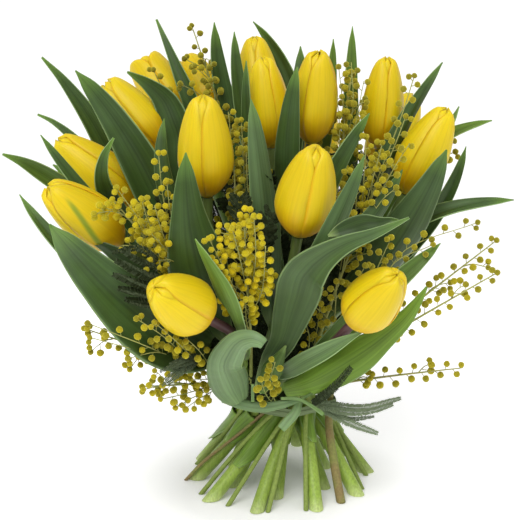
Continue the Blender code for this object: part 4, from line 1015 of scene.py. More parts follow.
def petal_rows(length, radius, turn, inset, half_angle, reach, openness, draw):
    """A petal as rows of points round the bloom's own Z axis."""
    phase, sway = draw.uniform(0, 1), draw.uniform(-0.05, 0.05)

    def row(s, t):
        rise = max(0.0, (t - 0.45) / 0.55)
        taper = max(0.0, 1 - max(0.0, (t - 0.64) / 0.36) ** 4) ** 0.5
        angle = turn + sway * t + s * (half_angle * max(taper, 0.04))
        edge = np.abs(s)
        r = radius * np.interp(t, *fine_profile()) - inset - 0.0005 * edge**4 - 0.0003 * edge**2
        r = r - 0.0004 * s * min(1.0, 5 * t) * max(taper, 0.2)
        r = r - 0.0004 * np.exp(-((s / 0.12) ** 2)) * math.sin(math.pi * t) ** 0.5
        r = r + 0.0003 * np.sin(2 * math.pi * (1.4 * t + phase) + 2.0 * s) * edge**2
        r = np.maximum(r, 0.0006 + 0.25 * inset) + openness * 0.006 * rise**1.6
        z = 0.0002 + length * reach * t + 0.6 * inset * (1 - t) - 0.0016 * edge**2 * rise
        return np.stack([r * np.cos(angle), r * np.sin(angle), z], axis=1)

    return row


def add_bloom(name, look, finish):
    """Three outer petals over three inner ones, round a receptacle."""
    base, tip, radius = BLOOMS[name]
    base, tip = Vector(base), Vector(tip)
    lift, drop, wider = SQUAT.get(name, AS_SOLID)
    base, tip = base + lift * (tip - base), tip - drop * (tip - base)
    draw = random.Random(500 + int(name))
    to_axis = (tip - base).to_track_quat("Z", "Y")
    viewed = to_axis.inverted() @ (VIEWER - base)
    first = math.atan2(viewed.y, viewed.x) + math.radians(SEAMS[name] + 60)
    pieces = []
    for layer, (inset, share, most, open_share) in enumerate(PETAL_LAYERS):
        for k in range(3):
            turn = first + math.radians(120 * k + 60 * layer + draw.uniform(-3, 3))
            reach = most - draw.uniform(0.0, 0.022)
            openness = open_share * OPENNESS.get(name, 0.0)
            spread = look.petal_spread * share
            rows = petal_rows(
                (tip - base).length, radius * wider, turn, inset, spread, reach, openness, draw
            )
            pieces.append(
                blade(
                    f"petal_{layer}_{k}", PETAL_GRID, rows, look.petal_thickness, finish,
                    tone=draw.uniform(-0.8, 0.8) + BLOOM_TONES.get(name, 0.0),
                    bud_green=float(name in FLAMED and (layer, k) == (0, 0)),
                )
            )
    bpy.ops.mesh.primitive_cone_add(
        vertices=20, radius1=RECEPTACLE_FOOT_R, radius2=RECEPTACLE_TOP_R, depth=RECEPTACLE_HEIGHT
    )
    core = bpy.context.object
    core.data.transform(Matrix.Translation((0, 0, 0.5 * RECEPTACLE_HEIGHT)))
    core.data.materials.append(finish)
    paint(core, tone=0.0, bud_green=0.0)
    pieces.append(core)
    for piece in pieces:
        piece.data.transform(Matrix.Translation(base) @ to_axis.to_matrix().to_4x4())
        piece.matrix_world = Matrix()
    made = joined("fine_bloom_" + name, pieces)
    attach(made, "root")
    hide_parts("bloom_" + name)


# Tulip stems without a sheath below the tie.
BARE = ("02", "06", "15")
# How much a leaf is painted paler green for the light that shines through it, and how much it shows of its
# dusty underside: shares.
BACKLIT_AND_PALE = {
    "26": 0.45, "28": 0.85, "22": 0.5, "35": 0.4, "29": 0.15, "18": 0.4,
    "30": 0.3, "25": 0.05, "42": 0.4, "34": 0.4, "01": 0.2,
}
UNDERSIDE = {"29": 0.45, "27": 0.9, "25": 0.15, "16": 0.3, "21": 0.15, "23": 0.1}
# Leaves whose tone, from -1 to 1, is not left to chance: each leaf darker or lighter, partly its own colour and
# partly painted shade and light as they fall on it.
LEAF_TONES = {
    "28": 0.05, "27": -0.25, "25": -0.30, "30": 0.1, "29": 0.1, "26": 0.35, "16": -0.2, "12": -0.25,
    "07": -0.15, "24": 0.1, "22": 0.0, "03": -0.3, "09": -0.3, "02": -0.1, "23": -0.45, "17": -0.1,
}
# Leaves that are fuller than the solid's: how much wider they are, and how far along.
FULLER = {
    "23": (0.15, 0.6), "07": (0.28, 0.45), "26": (0.55, 0.62), "12": (0.60, 0.48), "03": (0.12, 0.55),
}

# Leaves that bend in a way of their own: middle of the blade and half its width, from foot to tip.
LAID_LEAVES = {
    "01": (
        (-65, -8, 165, 2.6), (-95, -2, 176, 4.6), (-123, 0, 190, 5.8), (-146, -3, 207, 6.2),
        (-163, -8, 219, 4.9), (-176, -10, 225, 0.6),
    ),
    "02": (
        (-45, 1, 131, 1.9), (-76, 13, 163, 5.8), (-101, 21, 200, 7.5), (-120, 25, 236, 7.5),
        (-138, 26, 263, 4.9), (-153, 27, 280, 0.6),
    ),
    "04": (
        (-58, 5, 136, 1.9), (-103, 14, 195, 4.6), (-131, 22, 225, 4.9), (-146, 26, 237, 3.6),
        (-157, 28, 242, 0.6),
    ),
    "08": (
        (-54, -38, 127, 1.9), (-83, -22, 162, 3.9), (-100, -24, 187, 5.2), (-108, -36, 205, 6.2),
        (-111, -42, 219, 6.2), (-109, -42, 232, 4.2), (-103, -40, 243, 0.6),
    ),
    "10": (
        (-35, 28, 173, 1.9), (-47, 26, 219, 3.9), (-58, 27, 252, 5.2), (-68, 36, 275, 5.2),
        (-76, 46, 292, 2.9), (-80, 52, 300, 0.6),
    ),
    "09": (
        (-36, 4, 150, 1.9), (-48, -3, 173, 4.6), (-57, -2, 196, 6.5), (-63, 0, 218, 8.3),
        (-64, 4, 232, 9.3), (-68, 6, 244, 9.7), (-74, 10, 256, 8.8), (-85, 12, 266, 4.7),
        (-97, 10, 274, 0.6),
    ),
    "25": (
        (-14, -30, 71, 2.6), (-10, -36, 85, 4.9), (-5, -43, 99, 7.2), (2, -52, 114, 9.1),
        (6, -68, 133, 11.4), (10, -86, 153, 12.9), (14, -100, 171, 14), (24, -111, 186, 12.3),
        (38, -120, 198, 8.1), (53, -124, 205, 4.9), (67, -126, 212, 2.8), (75, -126, 216, 0.6),
    ),
    "27": (
        (-26, -50, 73, 6.5), (-31, -66, 90, 10.4), (-34, -82, 108, 12.5), (-30.6, -91, 120, 11.9),
        (-25.2, -98, 129, 10.7), (-18.7, -103, 133, 8.8), (-13.3, -106, 133, 6.2), (-9.9, -107, 131, 3.2),
    ),
    "28": (
        (4, -38, 76, 4.6), (19, -50, 85, 7.8), (37.3, -60, 99, 11.3), (57.3, -66, 115, 11.3),
        (75, -70, 132, 7.5), (84, -70, 144, 4.6), (91, -68, 155, 0.6),
    ),
    "29": (
        (-10, -15, 82, 1.9), (2, -44, 90, 3.9), (16, -70, 107, 5.5), (28, -82, 118, 5.8),
        (40, -88, 127, 4.6), (50, -90, 133, 0.6),
    ),
}
# Those among them whose back, not whose hollow, faces the viewer.
BULGED = ("27", "28")
# The other half of a folded blade, seen past its fold: places as above, and a tone, low for the painted shade
# on that half.
FOLDS = {
    "07": (
        (-68, -66, 150, 1.6), (-80, -68, 161, 5.2), (-93, -68, 170, 5.8), (-105, -66, 178, 5.2),
        (-116, -62, 183, 2.6), (-121, -60, 185, 0.6), -1.0,
    ),
    "25": (
        (28, -113, 201, 0.6), (34, -113, 204, 3.6), (41, -114, 207, 5.2), (49, -116, 210, 5.2),
        (57, -118, 211, 3.9), (64, -120, 213, 1.9), (69, -121, 213, 0.6), -0.55,
    ),
}

# Torn leaf ends and thin stalks over the tie: their middle and half width, then tone, paler green and dust.
STRIPS = (
    (
        (-36, -45, 73, 3), (-23, -52, 71, 3.2), (-11, -54, 70, 3.2), (2, -54, 72, 2.6), (13, -50, 73, 1),
        (0.0, 0.0, 0.75),
    ),
    (
        (13, -50, 72, 1.9), (10, -56, 67, 2.8), (5, -59, 62, 3), (1, -61, 58, 2.6), (0.2, 0.2, 0.8),
    ),
    (
        (-17, -60, 88, 0.8), (-17, -58, 82, 0.9), (-17, -54, 74, 0.9), (0.2, 0.4, 0.45),
    ),
    (
        (1, -54, 76, 0.8), (11, -57, 77, 0.9), (19, -57, 73, 1), (28, -56, 66, 1.2), (0.1, 0.5, 0.5),
    ),
    (
        (13, -54, 75, 0.8), (23, -52, 80, 0.8), (31, -48, 83, 0.6), (0.0, 0.3, 0.2),
    ),
    (
        (4, -52, 111, 0.4), (0, -52, 103, 3.6), (-5, -52, 94, 6.5), (-9, -51, 86, 5.2),
        (-12, -50, 79, 2.9), (-0.3, 0.3, 0.1),
    ),
)


def leaf_rows(point, width, fuller, root_axis, stem_radius, draw):
    """A leaf as rows of points: its foot clasps the stem, then it follows the solid blade with waved edges."""
    root = point(0, 0)
    out = point(0, 0.22) - root
    out = unit(out - (out @ root_axis) * root_axis)
    around = np.cross(root_axis, out)
    if around @ (point(1, 0.22) - point(-1, 0.22)) < 0:
        around = -around
    bow = 0.09
    phases = draw.uniform(0, 1), draw.uniform(0, 1)
    waves = draw.uniform(1.1, 2.0)

    def row(s, t):
        middle, left, right = point(0, t), point(-1, t), point(1, t)
        across, lift = 0.5 * (right - left), 0.5 * (right + left) - middle
        shrink = 1 - 0.7 * max(0.0, (t - 0.93) / 0.07) ** 1.6
        shrink = shrink * (1 + fuller[0] * math.exp(-(((t - fuller[1]) / 0.24) ** 2)))
        bowl = (np.sqrt(s**2 + bow) - math.sqrt(bow)) / (math.sqrt(1 + bow) - math.sqrt(bow))
        face = unit(np.cross(across, point(0, min(t + 0.01, 1.0)) - point(0, min(t, 0.99))))
        phase = np.where(s > 0, *phases)
        wave = np.abs(s) ** 2.5 * np.sin(2 * math.pi * (waves * t + phase)) * math.sin(math.pi * t)
        blade_row = middle + shrink * np.outer(s, across) + np.outer(bowl, lift)
        blade_row = blade_row + np.outer(0.055 * width * wave, face)
        clasp = max(0.0, 1 - t / 0.13)
        clasp = clasp * clasp * (3 - 2 * clasp)
        turn = s * math.radians(105)
        hug = np.outer(np.cos(turn), out) + np.outer(np.sin(turn), around)
        foot = root + (middle - root) @ root_axis * root_axis + (stem_radius + 0.0005) * hug
        return foot * clasp + blade_row * (1 - clasp)

    return row


def laid_rows(places, bulge):
    """A blade as rows of points along listed places, its middle bulged towards the viewer."""
    places = np.array(metres(places))
    path = smooth_path(places[:, :3], 41)
    steps = np.linspace(0, 1, len(places))
    widths = smooth_path(np.column_stack([steps, 20 * places[:, 3], 0 * steps]), 80)
    phase = 40 * places[0][3]

    def row(s, t):
        middle, along = at_share(path, t)
        across = unit(np.cross(along, np.array(VIEWER) - middle))
        facing = np.cross(across, along)
        facing = facing if facing @ (np.array(VIEWER) - middle) > 0 else -facing
        wide = np.interp(t, widths[:, 0], widths[:, 1]) / 20
        wave = 0.10 * np.abs(s) ** 2.5 * math.sin(2 * math.pi * (1.6 * t + phase)) * math.sin(math.pi * t)
        return middle + wide * (np.outer(s, across) + np.outer(bulge * (1 - s**2) + wave, facing))

    return row


def sheath_rows(path, stem_radius, draw):
    """A withered leaf base that hugs its stem below the tie, as rows of points from its torn end up."""
    top, bottom = draw.uniform(0.048, 0.053), draw.uniform(0.012, 0.034)
    open_edge, lifted = draw.choice((-1, 1)), draw.uniform(0.0012, 0.0030)
    swing = math.radians(draw.uniform(-25, 25))

    def row(s, t):
        z = bottom + (top - bottom) * t
        k = int(np.argmax(path[:, 2] > z))
        share = (z - path[k - 1][2]) / (path[k][2] - path[k - 1][2])
        middle = path[k - 1] + share * (path[k] - path[k - 1])
        along = unit(path[k] - path[k - 1])
        out = np.array([middle[0] + 0.004, middle[1], 0.0])
        out = unit(out - (out @ along) * along)
        around = np.cross(along, out)
        turn = swing + s * math.radians(55 + 60 * t) * min(1.0, 0.25 + 3.5 * t) ** 0.5
        r = stem_radius * (1.04 + 0.26 * t) + 0.0004
        r = r + lifted * np.clip(s * open_edge, 0, 1) ** 3 * math.sin(math.pi * min(1.0, 0.15 + t))
        r = r + 0.0004 * np.sin(7 * t + 3 * s)
        return middle + np.outer(r * np.cos(turn), out) + np.outer(r * np.sin(turn), around)

    return row


def fine_stem(key, count):
    """A stem's path in count steps, its radii there, and a point on its line below the floor."""
    paths, radii, _ = laid_out()
    fine = smooth_path(paths[key], count)
    wide = np.interp(np.linspace(0, 1, count), np.linspace(0, 1, STEM_POINTS), radii[key])
    return fine, wide, fine[0] - FLOOR_STEP * unit(fine[1] - fine[0])


def add_leafy_stem(name, look, finishes):
    """A round stem with its clasping leaves."""
    leaf_finish, stem_finish = finishes
    key = "stem_" + name
    draw = random.Random(900 + int(name))
    fine, wide, below = fine_stem(key, STEM_STEPS)
    lift = SQUAT.get(name, AS_SOLID)[0]
    base, tip, _ = BLOOMS[name]
    neck = [fine[-1] + lift * np.subtract(tip, base)] if lift > 0 else []
    stem_path = np.vstack([below, fine, *neck])
    stem_radii = np.concatenate([wide[:1], wide, wide[-1:]])[: len(stem_path)]
    stem = fine_tubes(key, [(stem_path, stem_radii)], 6, stem_finish)
    cut_at_floor()
    bpy.ops.object.shade_smooth_by_angle(angle=math.radians(50))
    to_neck = np.linalg.norm(points_and_faces(stem.data)[0] - fine[-1], axis=1)
    strength = 0.95 if name in FLUSHED else 0.25
    paint(stem, tone=draw.uniform(-1, 1), flush=strength * np.clip(1.25 - to_neck / 0.05, 0, 1))
    pieces = [stem]

    def add_blade(piece_name, size, rows, **painted):
        pieces.append(blade(piece_name, size, rows, look.leaf_thickness, leaf_finish, **painted))

    if name not in BARE:
        sheath = sheath_rows(fine, wide[4], draw)
        # A withered sheath: its paler green is its own.
        add_blade("sheath", SHEATH_GRID, sheath, tone=draw.uniform(0.0, 0.5), young=0.75)
    for leaf_name, point in laid_out()[2][key]:
        k = int(np.linalg.norm(fine - point(0, 0), axis=1).argmin())
        axis = unit(fine[min(k + 1, STEM_STEPS - 1)] - fine[max(k - 1, 0)])
        width = LEAVES[leaf_name][3] / 1000
        rows = leaf_rows(point, width, FULLER.get(leaf_name, (0.0, 0.5)), axis, wide[k], draw)
        if leaf_name in LAID_LEAVES:
            rows = laid_rows(LAID_LEAVES[leaf_name], 0.30 if leaf_name in BULGED else -0.30)
        tone = LEAF_TONES.get(leaf_name, draw.uniform(-0.35, 0.2))
        # The paler green where light shines through a leaf is painted.
        young, underside = BACKLIT_AND_PALE.get(leaf_name, 0.0), UNDERSIDE.get(leaf_name, 0.0)
        add_blade("leaf_" + leaf_name, LEAF_GRID, rows, tone=tone, young=young, underside=underside)
        if leaf_name in FOLDS:
            *places, tone = FOLDS[leaf_name]
            # Its low tone is painted shade.
            add_blade("fold", STRIP_GRID, laid_rows(places, -0.3), tone=tone)
    made = joined("fine_leafy_stem_" + name, pieces)
    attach(made, "root")
    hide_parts("leafy_stem_" + name)


# How each spray flowers: its side sprigs, their length and the step between balls in metres, and the tone
# of its balls.
FLOWERING = {
    "01": (3, 0.026, 0.0058, -0.35), "02": (5, 0.026, 0.0050, -0.1), "03": (11, 0.032, 0.0042, 0.50),
    "04": (9, 0.026, 0.0042, 0.0), "05": (15, 0.030, 0.0036, 0.75), "06": (8, 0.030, 0.0048, -0.15),
    "07": (8, 0.032, 0.0048, 0.0), "08": (3, 0.022, 0.0052, -0.1), "09": (2, 0.020, 0.0052, -0.1),
    "10": (2, 0.014, 0.0052, -0.1), "11": (3, 0.026, 0.0057, 0.15), "12": (1, 0.022, 0.0062, 0.1),
    "13": (6, 0.028, 0.0050, -0.2), "14": (7, 0.028, 0.0048, -0.2),
}
# Where a spray's side sprigs begin, as a share of its length, and which sprays are woody or thick below.
FIRST_SPRIG = {"05": 0.68}
WOODY = ("10", "13")
THICK = {"13": 1.9, "10": 0.7}

# Sprigs laid one by one where the photographed side shows them: share of the spray's length, middle and tip.
SPRIGS = {
    "11": (
        (0.56, (-81, -97, 126), (-117, -100, 142)), (0.6, (-89, -97, 124), (-116, -100, 133)),
        (0.6, (-74, -88, 119), (-93, -99, 119)), (0.56, (-70, -101, 133), (-87, -106, 147)),
        (0.52, (-61, -100, 128), (-76, -110, 146)), (0.48, (-49, -85, 118), (-63, -96, 136)),
    ),
    "12": (
        (0.66, (-71, -82, 95), (-84, -97, 98)), (0.7, (-67, -82, 97), (-77, -96, 110)),
        (0.6, (-59, -72, 86), (-74, -90, 89)), (0.56, (-53, -66, 82), (-65, -84, 81)),
        (0.54, (-49, -62, 80), (-59, -80, 79)), (0.5, (-40, -50, 87), (-56, -70, 95)),
    ),
    "08": (
        (0.6, (74, -52, 170), (123, -52, 192)), (0.56, (68, -54, 162), (95, -60, 180)),
        (0.52, (58, -52, 153), (69, -58, 184)), (0.48, (44, -50, 141), (53, -62, 167)),
        (0.44, (35, -52, 135), (35, -66, 158)),
    ),
    "07": (
        (0.84, (69, -56, 239), (77, -50, 259)), (0.92, (74, -50, 258), (82, -48, 284)),
        (0.74, (68, -64, 227), (79, -62, 245)), (0.7, (60, -64, 206), (71, -66, 218)),
        (0.66, (43, -60, 194), (37, -64, 211)), (0.74, (47, -58, 211), (43, -58, 227)),
        (0.8, (52, -54, 225), (53, -50, 246)), (0.8, (59, -56, 228), (63, -52, 243)),
    ),
    "06": (
        (0.74, (41, -10, 241), (37, -12, 282)), (0.74, (48, -12, 248), (53, -12, 273)),
        (0.7, (38, -14, 235), (36, -16, 264)), (0.78, (46, -12, 254), (45, -8, 284)),
        (0.7, (46, -16, 239), (52, -18, 262)),
    ),
    "04": (
        (0.66, (-26, -36, 202), (-32, -38, 259)), (0.66, (-21, -36, 202), (-24, -38, 254)),
        (0.6, (-26, -44, 188), (-29, -42, 236)), (0.62, (-19, -46, 195), (-21, -44, 237)),
        (0.56, (-20, -52, 181), (-17, -56, 207)),
    ),
    "03": (
        (0.66, (-70, -72, 206), (-74, -70, 241)), (0.66, (-66, -74, 200), (-69, -76, 225)),
        (0.72, (-85, -78, 200), (-99, -84, 223)), (0.7, (-79, -80, 198), (-84, -84, 216)),
        (0.64, (-70, -80, 189), (-76, -88, 213)), (0.66, (-79, -80, 182), (-96, -92, 189)),
        (0.6, (-64, -78, 174), (-83, -94, 177)), (0.62, (-70, -84, 184), (-79, -94, 198)),
    ),
    "01": (
        (0.86, (-48, 42, 275), (-42, 30, 275)), (0.8, (-43, 24, 262), (-54, 10, 278)),
        (0.74, (-38, 20, 247), (-44, 8, 269)), (0.74, (-48, 14, 255), (-63, 2, 268)),
    ),
    "02": (
        (0.86, (-74, 30, 251), (-81, 22, 273)),
    ),
    "05": (
        (0.66, (-29, -84, 161), (-43, -104, 197)), (0.66, (-11, -84, 158), (-9, -104, 192)),
        (0.6, (-31, -80, 147), (-39, -104, 182)), (0.7, (-24, -96, 180), (-29, -106, 204)),
        (0.7, (-15, -96, 182), (-16, -104, 211)), (0.56, (-21, -72, 135), (-21, -96, 156)),
    ),
    "09": (
        (0.3, (-6, -56, 86), (-3, -86, 112)), (0.3, (-8, -60, 80), (-12, -84, 100)),
        (0.4, (24, -44, 120), (26, -50, 148)), (0.42, (31, -46, 122), (20, -52, 139)),
        (0.38, (19, -46, 110), (16, -50, 127)),
    ),
}

# Combs of the feathery leaves that show: start, middle and end, how far apart they lie side by side, how
# long their leaflets are, how many they are, and their tone from -1 to 1.
# A low tone is painted shade, for the combs in the dark heart.
COMBS = {
    "10": (
        ((25, -38, 66), (51, -62, 71), (76, -68, 80), 2.6, 3.6, 2, 0.7),
        ((28, -36, 63), (45, -58, 61), (62, -66, 57), 0, 4, 1, 1.1),
        ((30, -36, 61), (45, -54, 62), (60, -60, 66), 0, 2.2, 1, 0.6),
        ((21, -48, 70), (33, -74, 90), (44, -82, 107), 1.6, 3, 2, -0.8),
    ),
    "12": (
        ((-51, -64, 108), (-61, -94, 115), (-73, -106, 113), 1.5, 2.6, 3, -0.35),
        ((-52, -64, 106), (-61, -94, 110), (-72, -106, 104), 1.7, 2.8, 3, -0.15),
    ),
    "03": (
        ((-68, -93, 166), (-83, -97, 172), (-99, -98, 181), 0, 4, 1, -0.85),
        ((-68, -93, 162), (-85, -97, 166), (-101, -97, 172), 0, 4, 1, -0.85),
        ((-67, -92, 157), (-83, -96, 160), (-98, -96, 163), 0, 4, 1, -0.9),
        ((-67, -92, 152), (-81, -96, 154), (-94, -96, 156), 0, 4, 1, -0.9),
        ((-73, -92, 174), (-85, -96, 180), (-96, -98, 188), 0, 3, 1, -0.8),
        ((-74, -90, 178), (-85, -95, 188), (-101, -97, 186), 0, 3, 1, -0.8),
        ((-67, -97, 161), (-82, -101, 166), (-98, -101, 174), 0, 1.4, 1, -0.6),
        ((-66, -97, 156), (-81, -100, 159), (-96, -100, 163), 0, 1.4, 1, -0.6),
        ((-68, -97, 166), (-81, -101, 174), (-94, -102, 182), 0, 1.4, 1, -0.7),
        ((-66, -96, 151), (-79, -99, 152), (-91, -99, 155), 0, 1.4, 1, -0.7),
    ),
}


def is_clear(point, room):
    return solids_around().find_nearest(Vector(point), room)[0] is None


def open_run(start, end):
    """Whether nothing solid stands between two points."""
    way = Vector(end) - Vector(start)
    return solids_around().ray_cast(Vector(start), way.normalized(), way.length)[0] is None


def across_stem(along):
    """Two directions at right angles to a stem: a level one, and the one upright to it."""
    level = unit(np.cross(along, (0.0, 0.3, 1.0)))
    return level, np.cross(level, along)


def sprig(draw, path, step, look, taken, first=0.12):
    """A thin stalk with flower heads left and right of it on short stalks: the stalks' runs and the heads."""
    length = np.linalg.norm(path[-1] - path[0])
    runs = [(path, np.linspace(*SPRIG_R, len(path)))]
    heads = []
    count = max(2, int(length * (1 - first) / step))
    to_viewer = unit(np.array(VIEWER) - path[0])
    tilt = draw.uniform(-0.7, 0.7)
    for k in range(count + 1):
        share = min(1.0, first + (1 - first) * (k + draw.uniform(0.3, 0.7)) / count)
        place, along = at_share(path, share)
        side = unit(np.cross(along, to_viewer))
        turn = math.pi * k + tilt + draw.uniform(-0.6, 0.6)
        reach = draw.uniform(0.8, 1.2) * (0.0050 - 0.0024 * share)
        way = unit(0.6 * along + math.cos(turn) * side + math.sin(turn) * np.cross(along, side))
        size = 0.5 * look.ball_diameter * draw.uniform(0.88, 1.06) * (1 - 0.16 * share**3)
        centre = path[-1] if k == count else place + way * (reach + 0.6 * size)
        near = any(np.linalg.norm(centre - other) < 1.6 * size for other in taken)
        if near or not is_clear(centre, 0.95 * size):
            continue
        if k < count:
            runs.append((np.array([place, centre]), HEAD_STALK_R))
        taken.append(centre)
        heads.append((centre, size, share))
    return runs, heads


def spray_sprigs(name, draw, fine, look):
    """The flowering part of a spray: its own end and its side sprigs."""
    count, length, step, _ = FLOWERING[name]
    taken = []
    runs, heads = sprig(draw, smooth_path([fine[66], fine[83], fine[100]], 12), step, look, taken, first=0.0)
    for share, *places in SPRIGS.get(name, ()):
        path = smooth_path([fine[int(share * 100)], *metres(places)], 16)
        more_runs, more_heads = sprig(draw, path, step, look, taken, first=0.3)
        runs += more_runs
        heads += more_heads
    lowest = FIRST_SPRIG.get(name, 0.56)
    for k in range(count):
        share = lowest + (0.96 - lowest) * (k + 0.5) / count
        i = int(share * 100)
        start = fine[i]
        along = unit(fine[min(i + 2, 100)] - fine[i - 2])
        level, upright = across_stem(along)
        best = None
        for attempt in range(14):
            turn = GOLDEN_ANGLE * (k + 0.37 * attempt) + draw.uniform(-0.3, 0.3)
            lean = math.radians(draw.uniform(24, 50))
            side = math.cos(turn) * level + math.sin(turn) * upright
            long = length * draw.uniform(0.75, 1.1) * (1.15 - 0.5 * (share - 0.56) / 0.4)
            end = start + long * (math.cos(lean) * along + math.sin(lean) * side)
            if not open_run(start, end):
                continue
            path = smooth_path([start, 0.5 * (start + end) + 0.12 * long * upright, end], 12)
            made = sprig(draw, path, step, look, list(taken))
            if best is None or len(made[1]) > len(best[1]):
                best = made
            if attempt > 4:
                break
        if best:
            runs += best[0]
            heads += best[1]
            taken += [centre for centre, _, _ in best[1]]
    return runs, heads


def comb(draw, path, facing, leaflet, runs, leaflets):
    """One comb of a feathery leaf: a thin stalk with a close row of leaflets on either side."""
    runs.append((path, np.linspace(*COMB_R, len(path))))
    steps = max(5, int(np.linalg.norm(path[-1] - path[0]) / LEAFLET_STEP))
    for j in range(steps):
        share = (j + 0.7) / steps
        place, along = at_share(path, share)
        flat = unit(np.cross(along, facing))
        size = 0.5 * leaflet * (1 - 0.55 * share**3) * draw.uniform(0.88, 1.1)
        for edge in (-1, 1):
            leaf = unit(0.55 * along + edge * flat + draw.uniform(-0.25, 0.1) * facing)
            half_sizes = LEAFLET_HALF_WIDTH, LEAFLET_HALF_THICKNESS, size
            leaflets.append(turned(leaf, facing, place + leaf * size, half_sizes))


def feather(draw, rachis, facing, length, pairs, leaflet):
    """A feathery leaf with pairs of combs along its rachis."""
    runs, leaflets = [(rachis, np.linspace(*RACHIS_R, len(rachis)))], []
    for k in range(pairs):
        share = 0.20 + 0.76 * k / (pairs - 1)
        start, along = at_share(rachis, share)
        side = unit(np.cross(along, facing))
        face = np.cross(side, along)
        for hand in (-1, 1):
            lean = math.radians(draw.uniform(38, 52))
            way = unit(math.cos(lean) * along + hand * math.sin(lean) * side + draw.uniform(-0.2, 0.2) * face)
            long = length * (1 - 0.35 * abs(2 * share - 1) ** 2) * draw.uniform(0.85, 1.1)
            path = smooth_path([start, start + 0.5 * long * way + 0.05 * long * face, start + long * way], 7)
            comb(draw, path, face, leaflet, runs, leaflets)
    return runs, leaflets


def side_by_side(draw, start, middle, end, gap, leaflet, count):
    """Combs of a feathery leaf that lie close together, from one stalk."""
    runs, leaflets = [], []
    path = smooth_path([start, middle, end], 13)
    to_viewer = unit(np.array(VIEWER) - path[6])
    across = unit(np.cross(path[-1] - path[0], to_viewer))
    facing = np.cross(across, unit(path[-1] - path[0]))
    for k in range(count):
        from_centre = k - (count - 1) / 2
        shorter = 1 - 0.12 * abs(from_centre) - draw.uniform(0.0, 0.05)
        comb_path = [p + from_centre * gap * min(1.0, 3 * j / 12) * across for j, p in enumerate(path)]
        comb_path = np.array(comb_path[: max(6, int(13 * shorter) + 1)])
        facing_k = unit(facing + draw.uniform(-0.3, 0.3) * across)
        comb(draw, comb_path, facing_k, leaflet, runs, leaflets)
    return runs, leaflets


def inside(point):
    """Whether a point lies in the dark heart of the bunch, not against the light round it."""
    reach = math.hypot(point[0] + 0.01, point[1])
    return point[2] < 0.225 and reach < 0.020 + 0.42 * max(0.0, point[2] - TIE_HEIGHT)


def extra_fronds(draw, fine, count):
    """More feathery leaves along the spray, in the heart of the bunch, where they find room: dark, to fill the
    heart with painted shade.
    """
    made = []
    for k in range(count):
        i = int((0.28 + 0.60 * k / (count - 1)) * 100)
        start = fine[i]
        along = unit(fine[i + 2] - fine[i - 2])
        level, upright = across_stem(along)
        for attempt in range(16):
            turn = GOLDEN_ANGLE * (k + attempt * 0.31) + draw.uniform(-0.3, 0.3)
            lean = math.radians(draw.uniform(20, 60))
            side = math.cos(turn) * level + math.sin(turn) * upright
            end = start + draw.uniform(0.028, 0.042) * (math.cos(lean) * along + math.sin(lean) * side)
            middle = 0.5 * (start + end) + 0.003 * upright
            if inside(end) and open_run(start, middle) and open_run(middle, end):
                rachis = smooth_path([start, middle, end], 9)
                facing = unit(np.cross(np.cross(end - start, (0.0, -1.0, 0.4)), end - start))
                made.append(feather(draw, rachis, facing, 0.012, 7, 0.0026))
                break
    return made


# The spray whose plain leaf ends lie over the tie.
TIE_LEAF = "10"


def add_spray(name, look, masters, finishes):
    """A mimosa spray: its stem, flowering sprigs and feathery leaves."""
    ball_master, leaflet_master = masters
    ball_finish, twig_finish, frond_finish, leaf_finish = finishes
    key = "spray_" + name
    draw = random.Random(1300 + int(name))
    fine, wide, below = fine_stem(key, SPRAY_STEPS)
    steps = np.arange(SPRAY_STEPS)
    wide = np.minimum(wide, np.interp(steps, (0, 45, 66, 100), (0.0016, 0.0013, 0.0008, 0.00035)))
    wide = wide * np.interp(steps, (20, 40), (THICK.get(name, 1.0), 1.0))
    run = np.vstack([below, fine[::3]]), np.concatenate([wide[:1], wide[::3]])
    stem = fine_tubes(key, [run], 4, twig_finish)
    cut_at_floor()
    runs, heads = spray_sprigs(name, draw, fine, look)
    stalks, leaflets, shades = {}, [], []
    for *lengths, count, tone in COMBS.get(name, ()):
        more_runs, more_leaflets = side_by_side(draw, *metres(lengths), count)
        stalks.setdefault(tone, []).extend(more_runs)
        leaflets += more_leaflets
        shades += [tone + draw.uniform(-0.25, 0.25) for _ in more_leaflets]
    for more_runs, more_leaflets in extra_fronds(draw, fine, 12):
        # The stalks and leaflets in the heart are dark: painted shade.
        stalks.setdefault(-0.9, []).extend(more_runs)
        leaflets += more_leaflets
        shades += [draw.uniform(-1.0, -0.75) for _ in more_leaflets]
    twigs = fine_tubes(key + "_twigs", runs, 0, twig_finish)
    for piece in (stem, twigs):
        paint(piece, tone=1.0 if name in WOODY else 0.0)
    ball_tone = FLOWERING[name][3]
    places, tones = [], []
    for centre, size, share in heads:
        spin = [draw.uniform(-1, 1) for _ in range(6)]
        places.append(turned(spin[:3], spin[3:], centre, (size, size, size)))
        tones.append(float(np.clip(ball_tone + draw.uniform(-0.35, 0.35) - 0.3 * share**4, -1, 1)))
    pieces = [copies(key + "_balls", ball_master, places, tones, ball_finish), stem, twigs]
    if leaflets:
        pieces.append(copies(key + "_leaflets", leaflet_master, leaflets, shades, frond_finish))
    for tone, stalk_runs in stalks.items():
        pieces.append(fine_tubes(key + "_stalks", stalk_runs, 0, frond_finish))
        paint(pieces[-1], tone=tone)
    for *places, (tone, young, dusty) in STRIPS if name == TIE_LEAF else ():
        strip = blade("strip", STRIP_GRID, laid_rows(places, 0.3), look.leaf_thickness, leaf_finish)
        paint(strip, tone=tone, young=young, underside=dusty)
        pieces.append(strip)
    made = joined("fine_mimosa_" + name, pieces)
    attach(made, "root")
    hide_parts("mimosa_" + name)


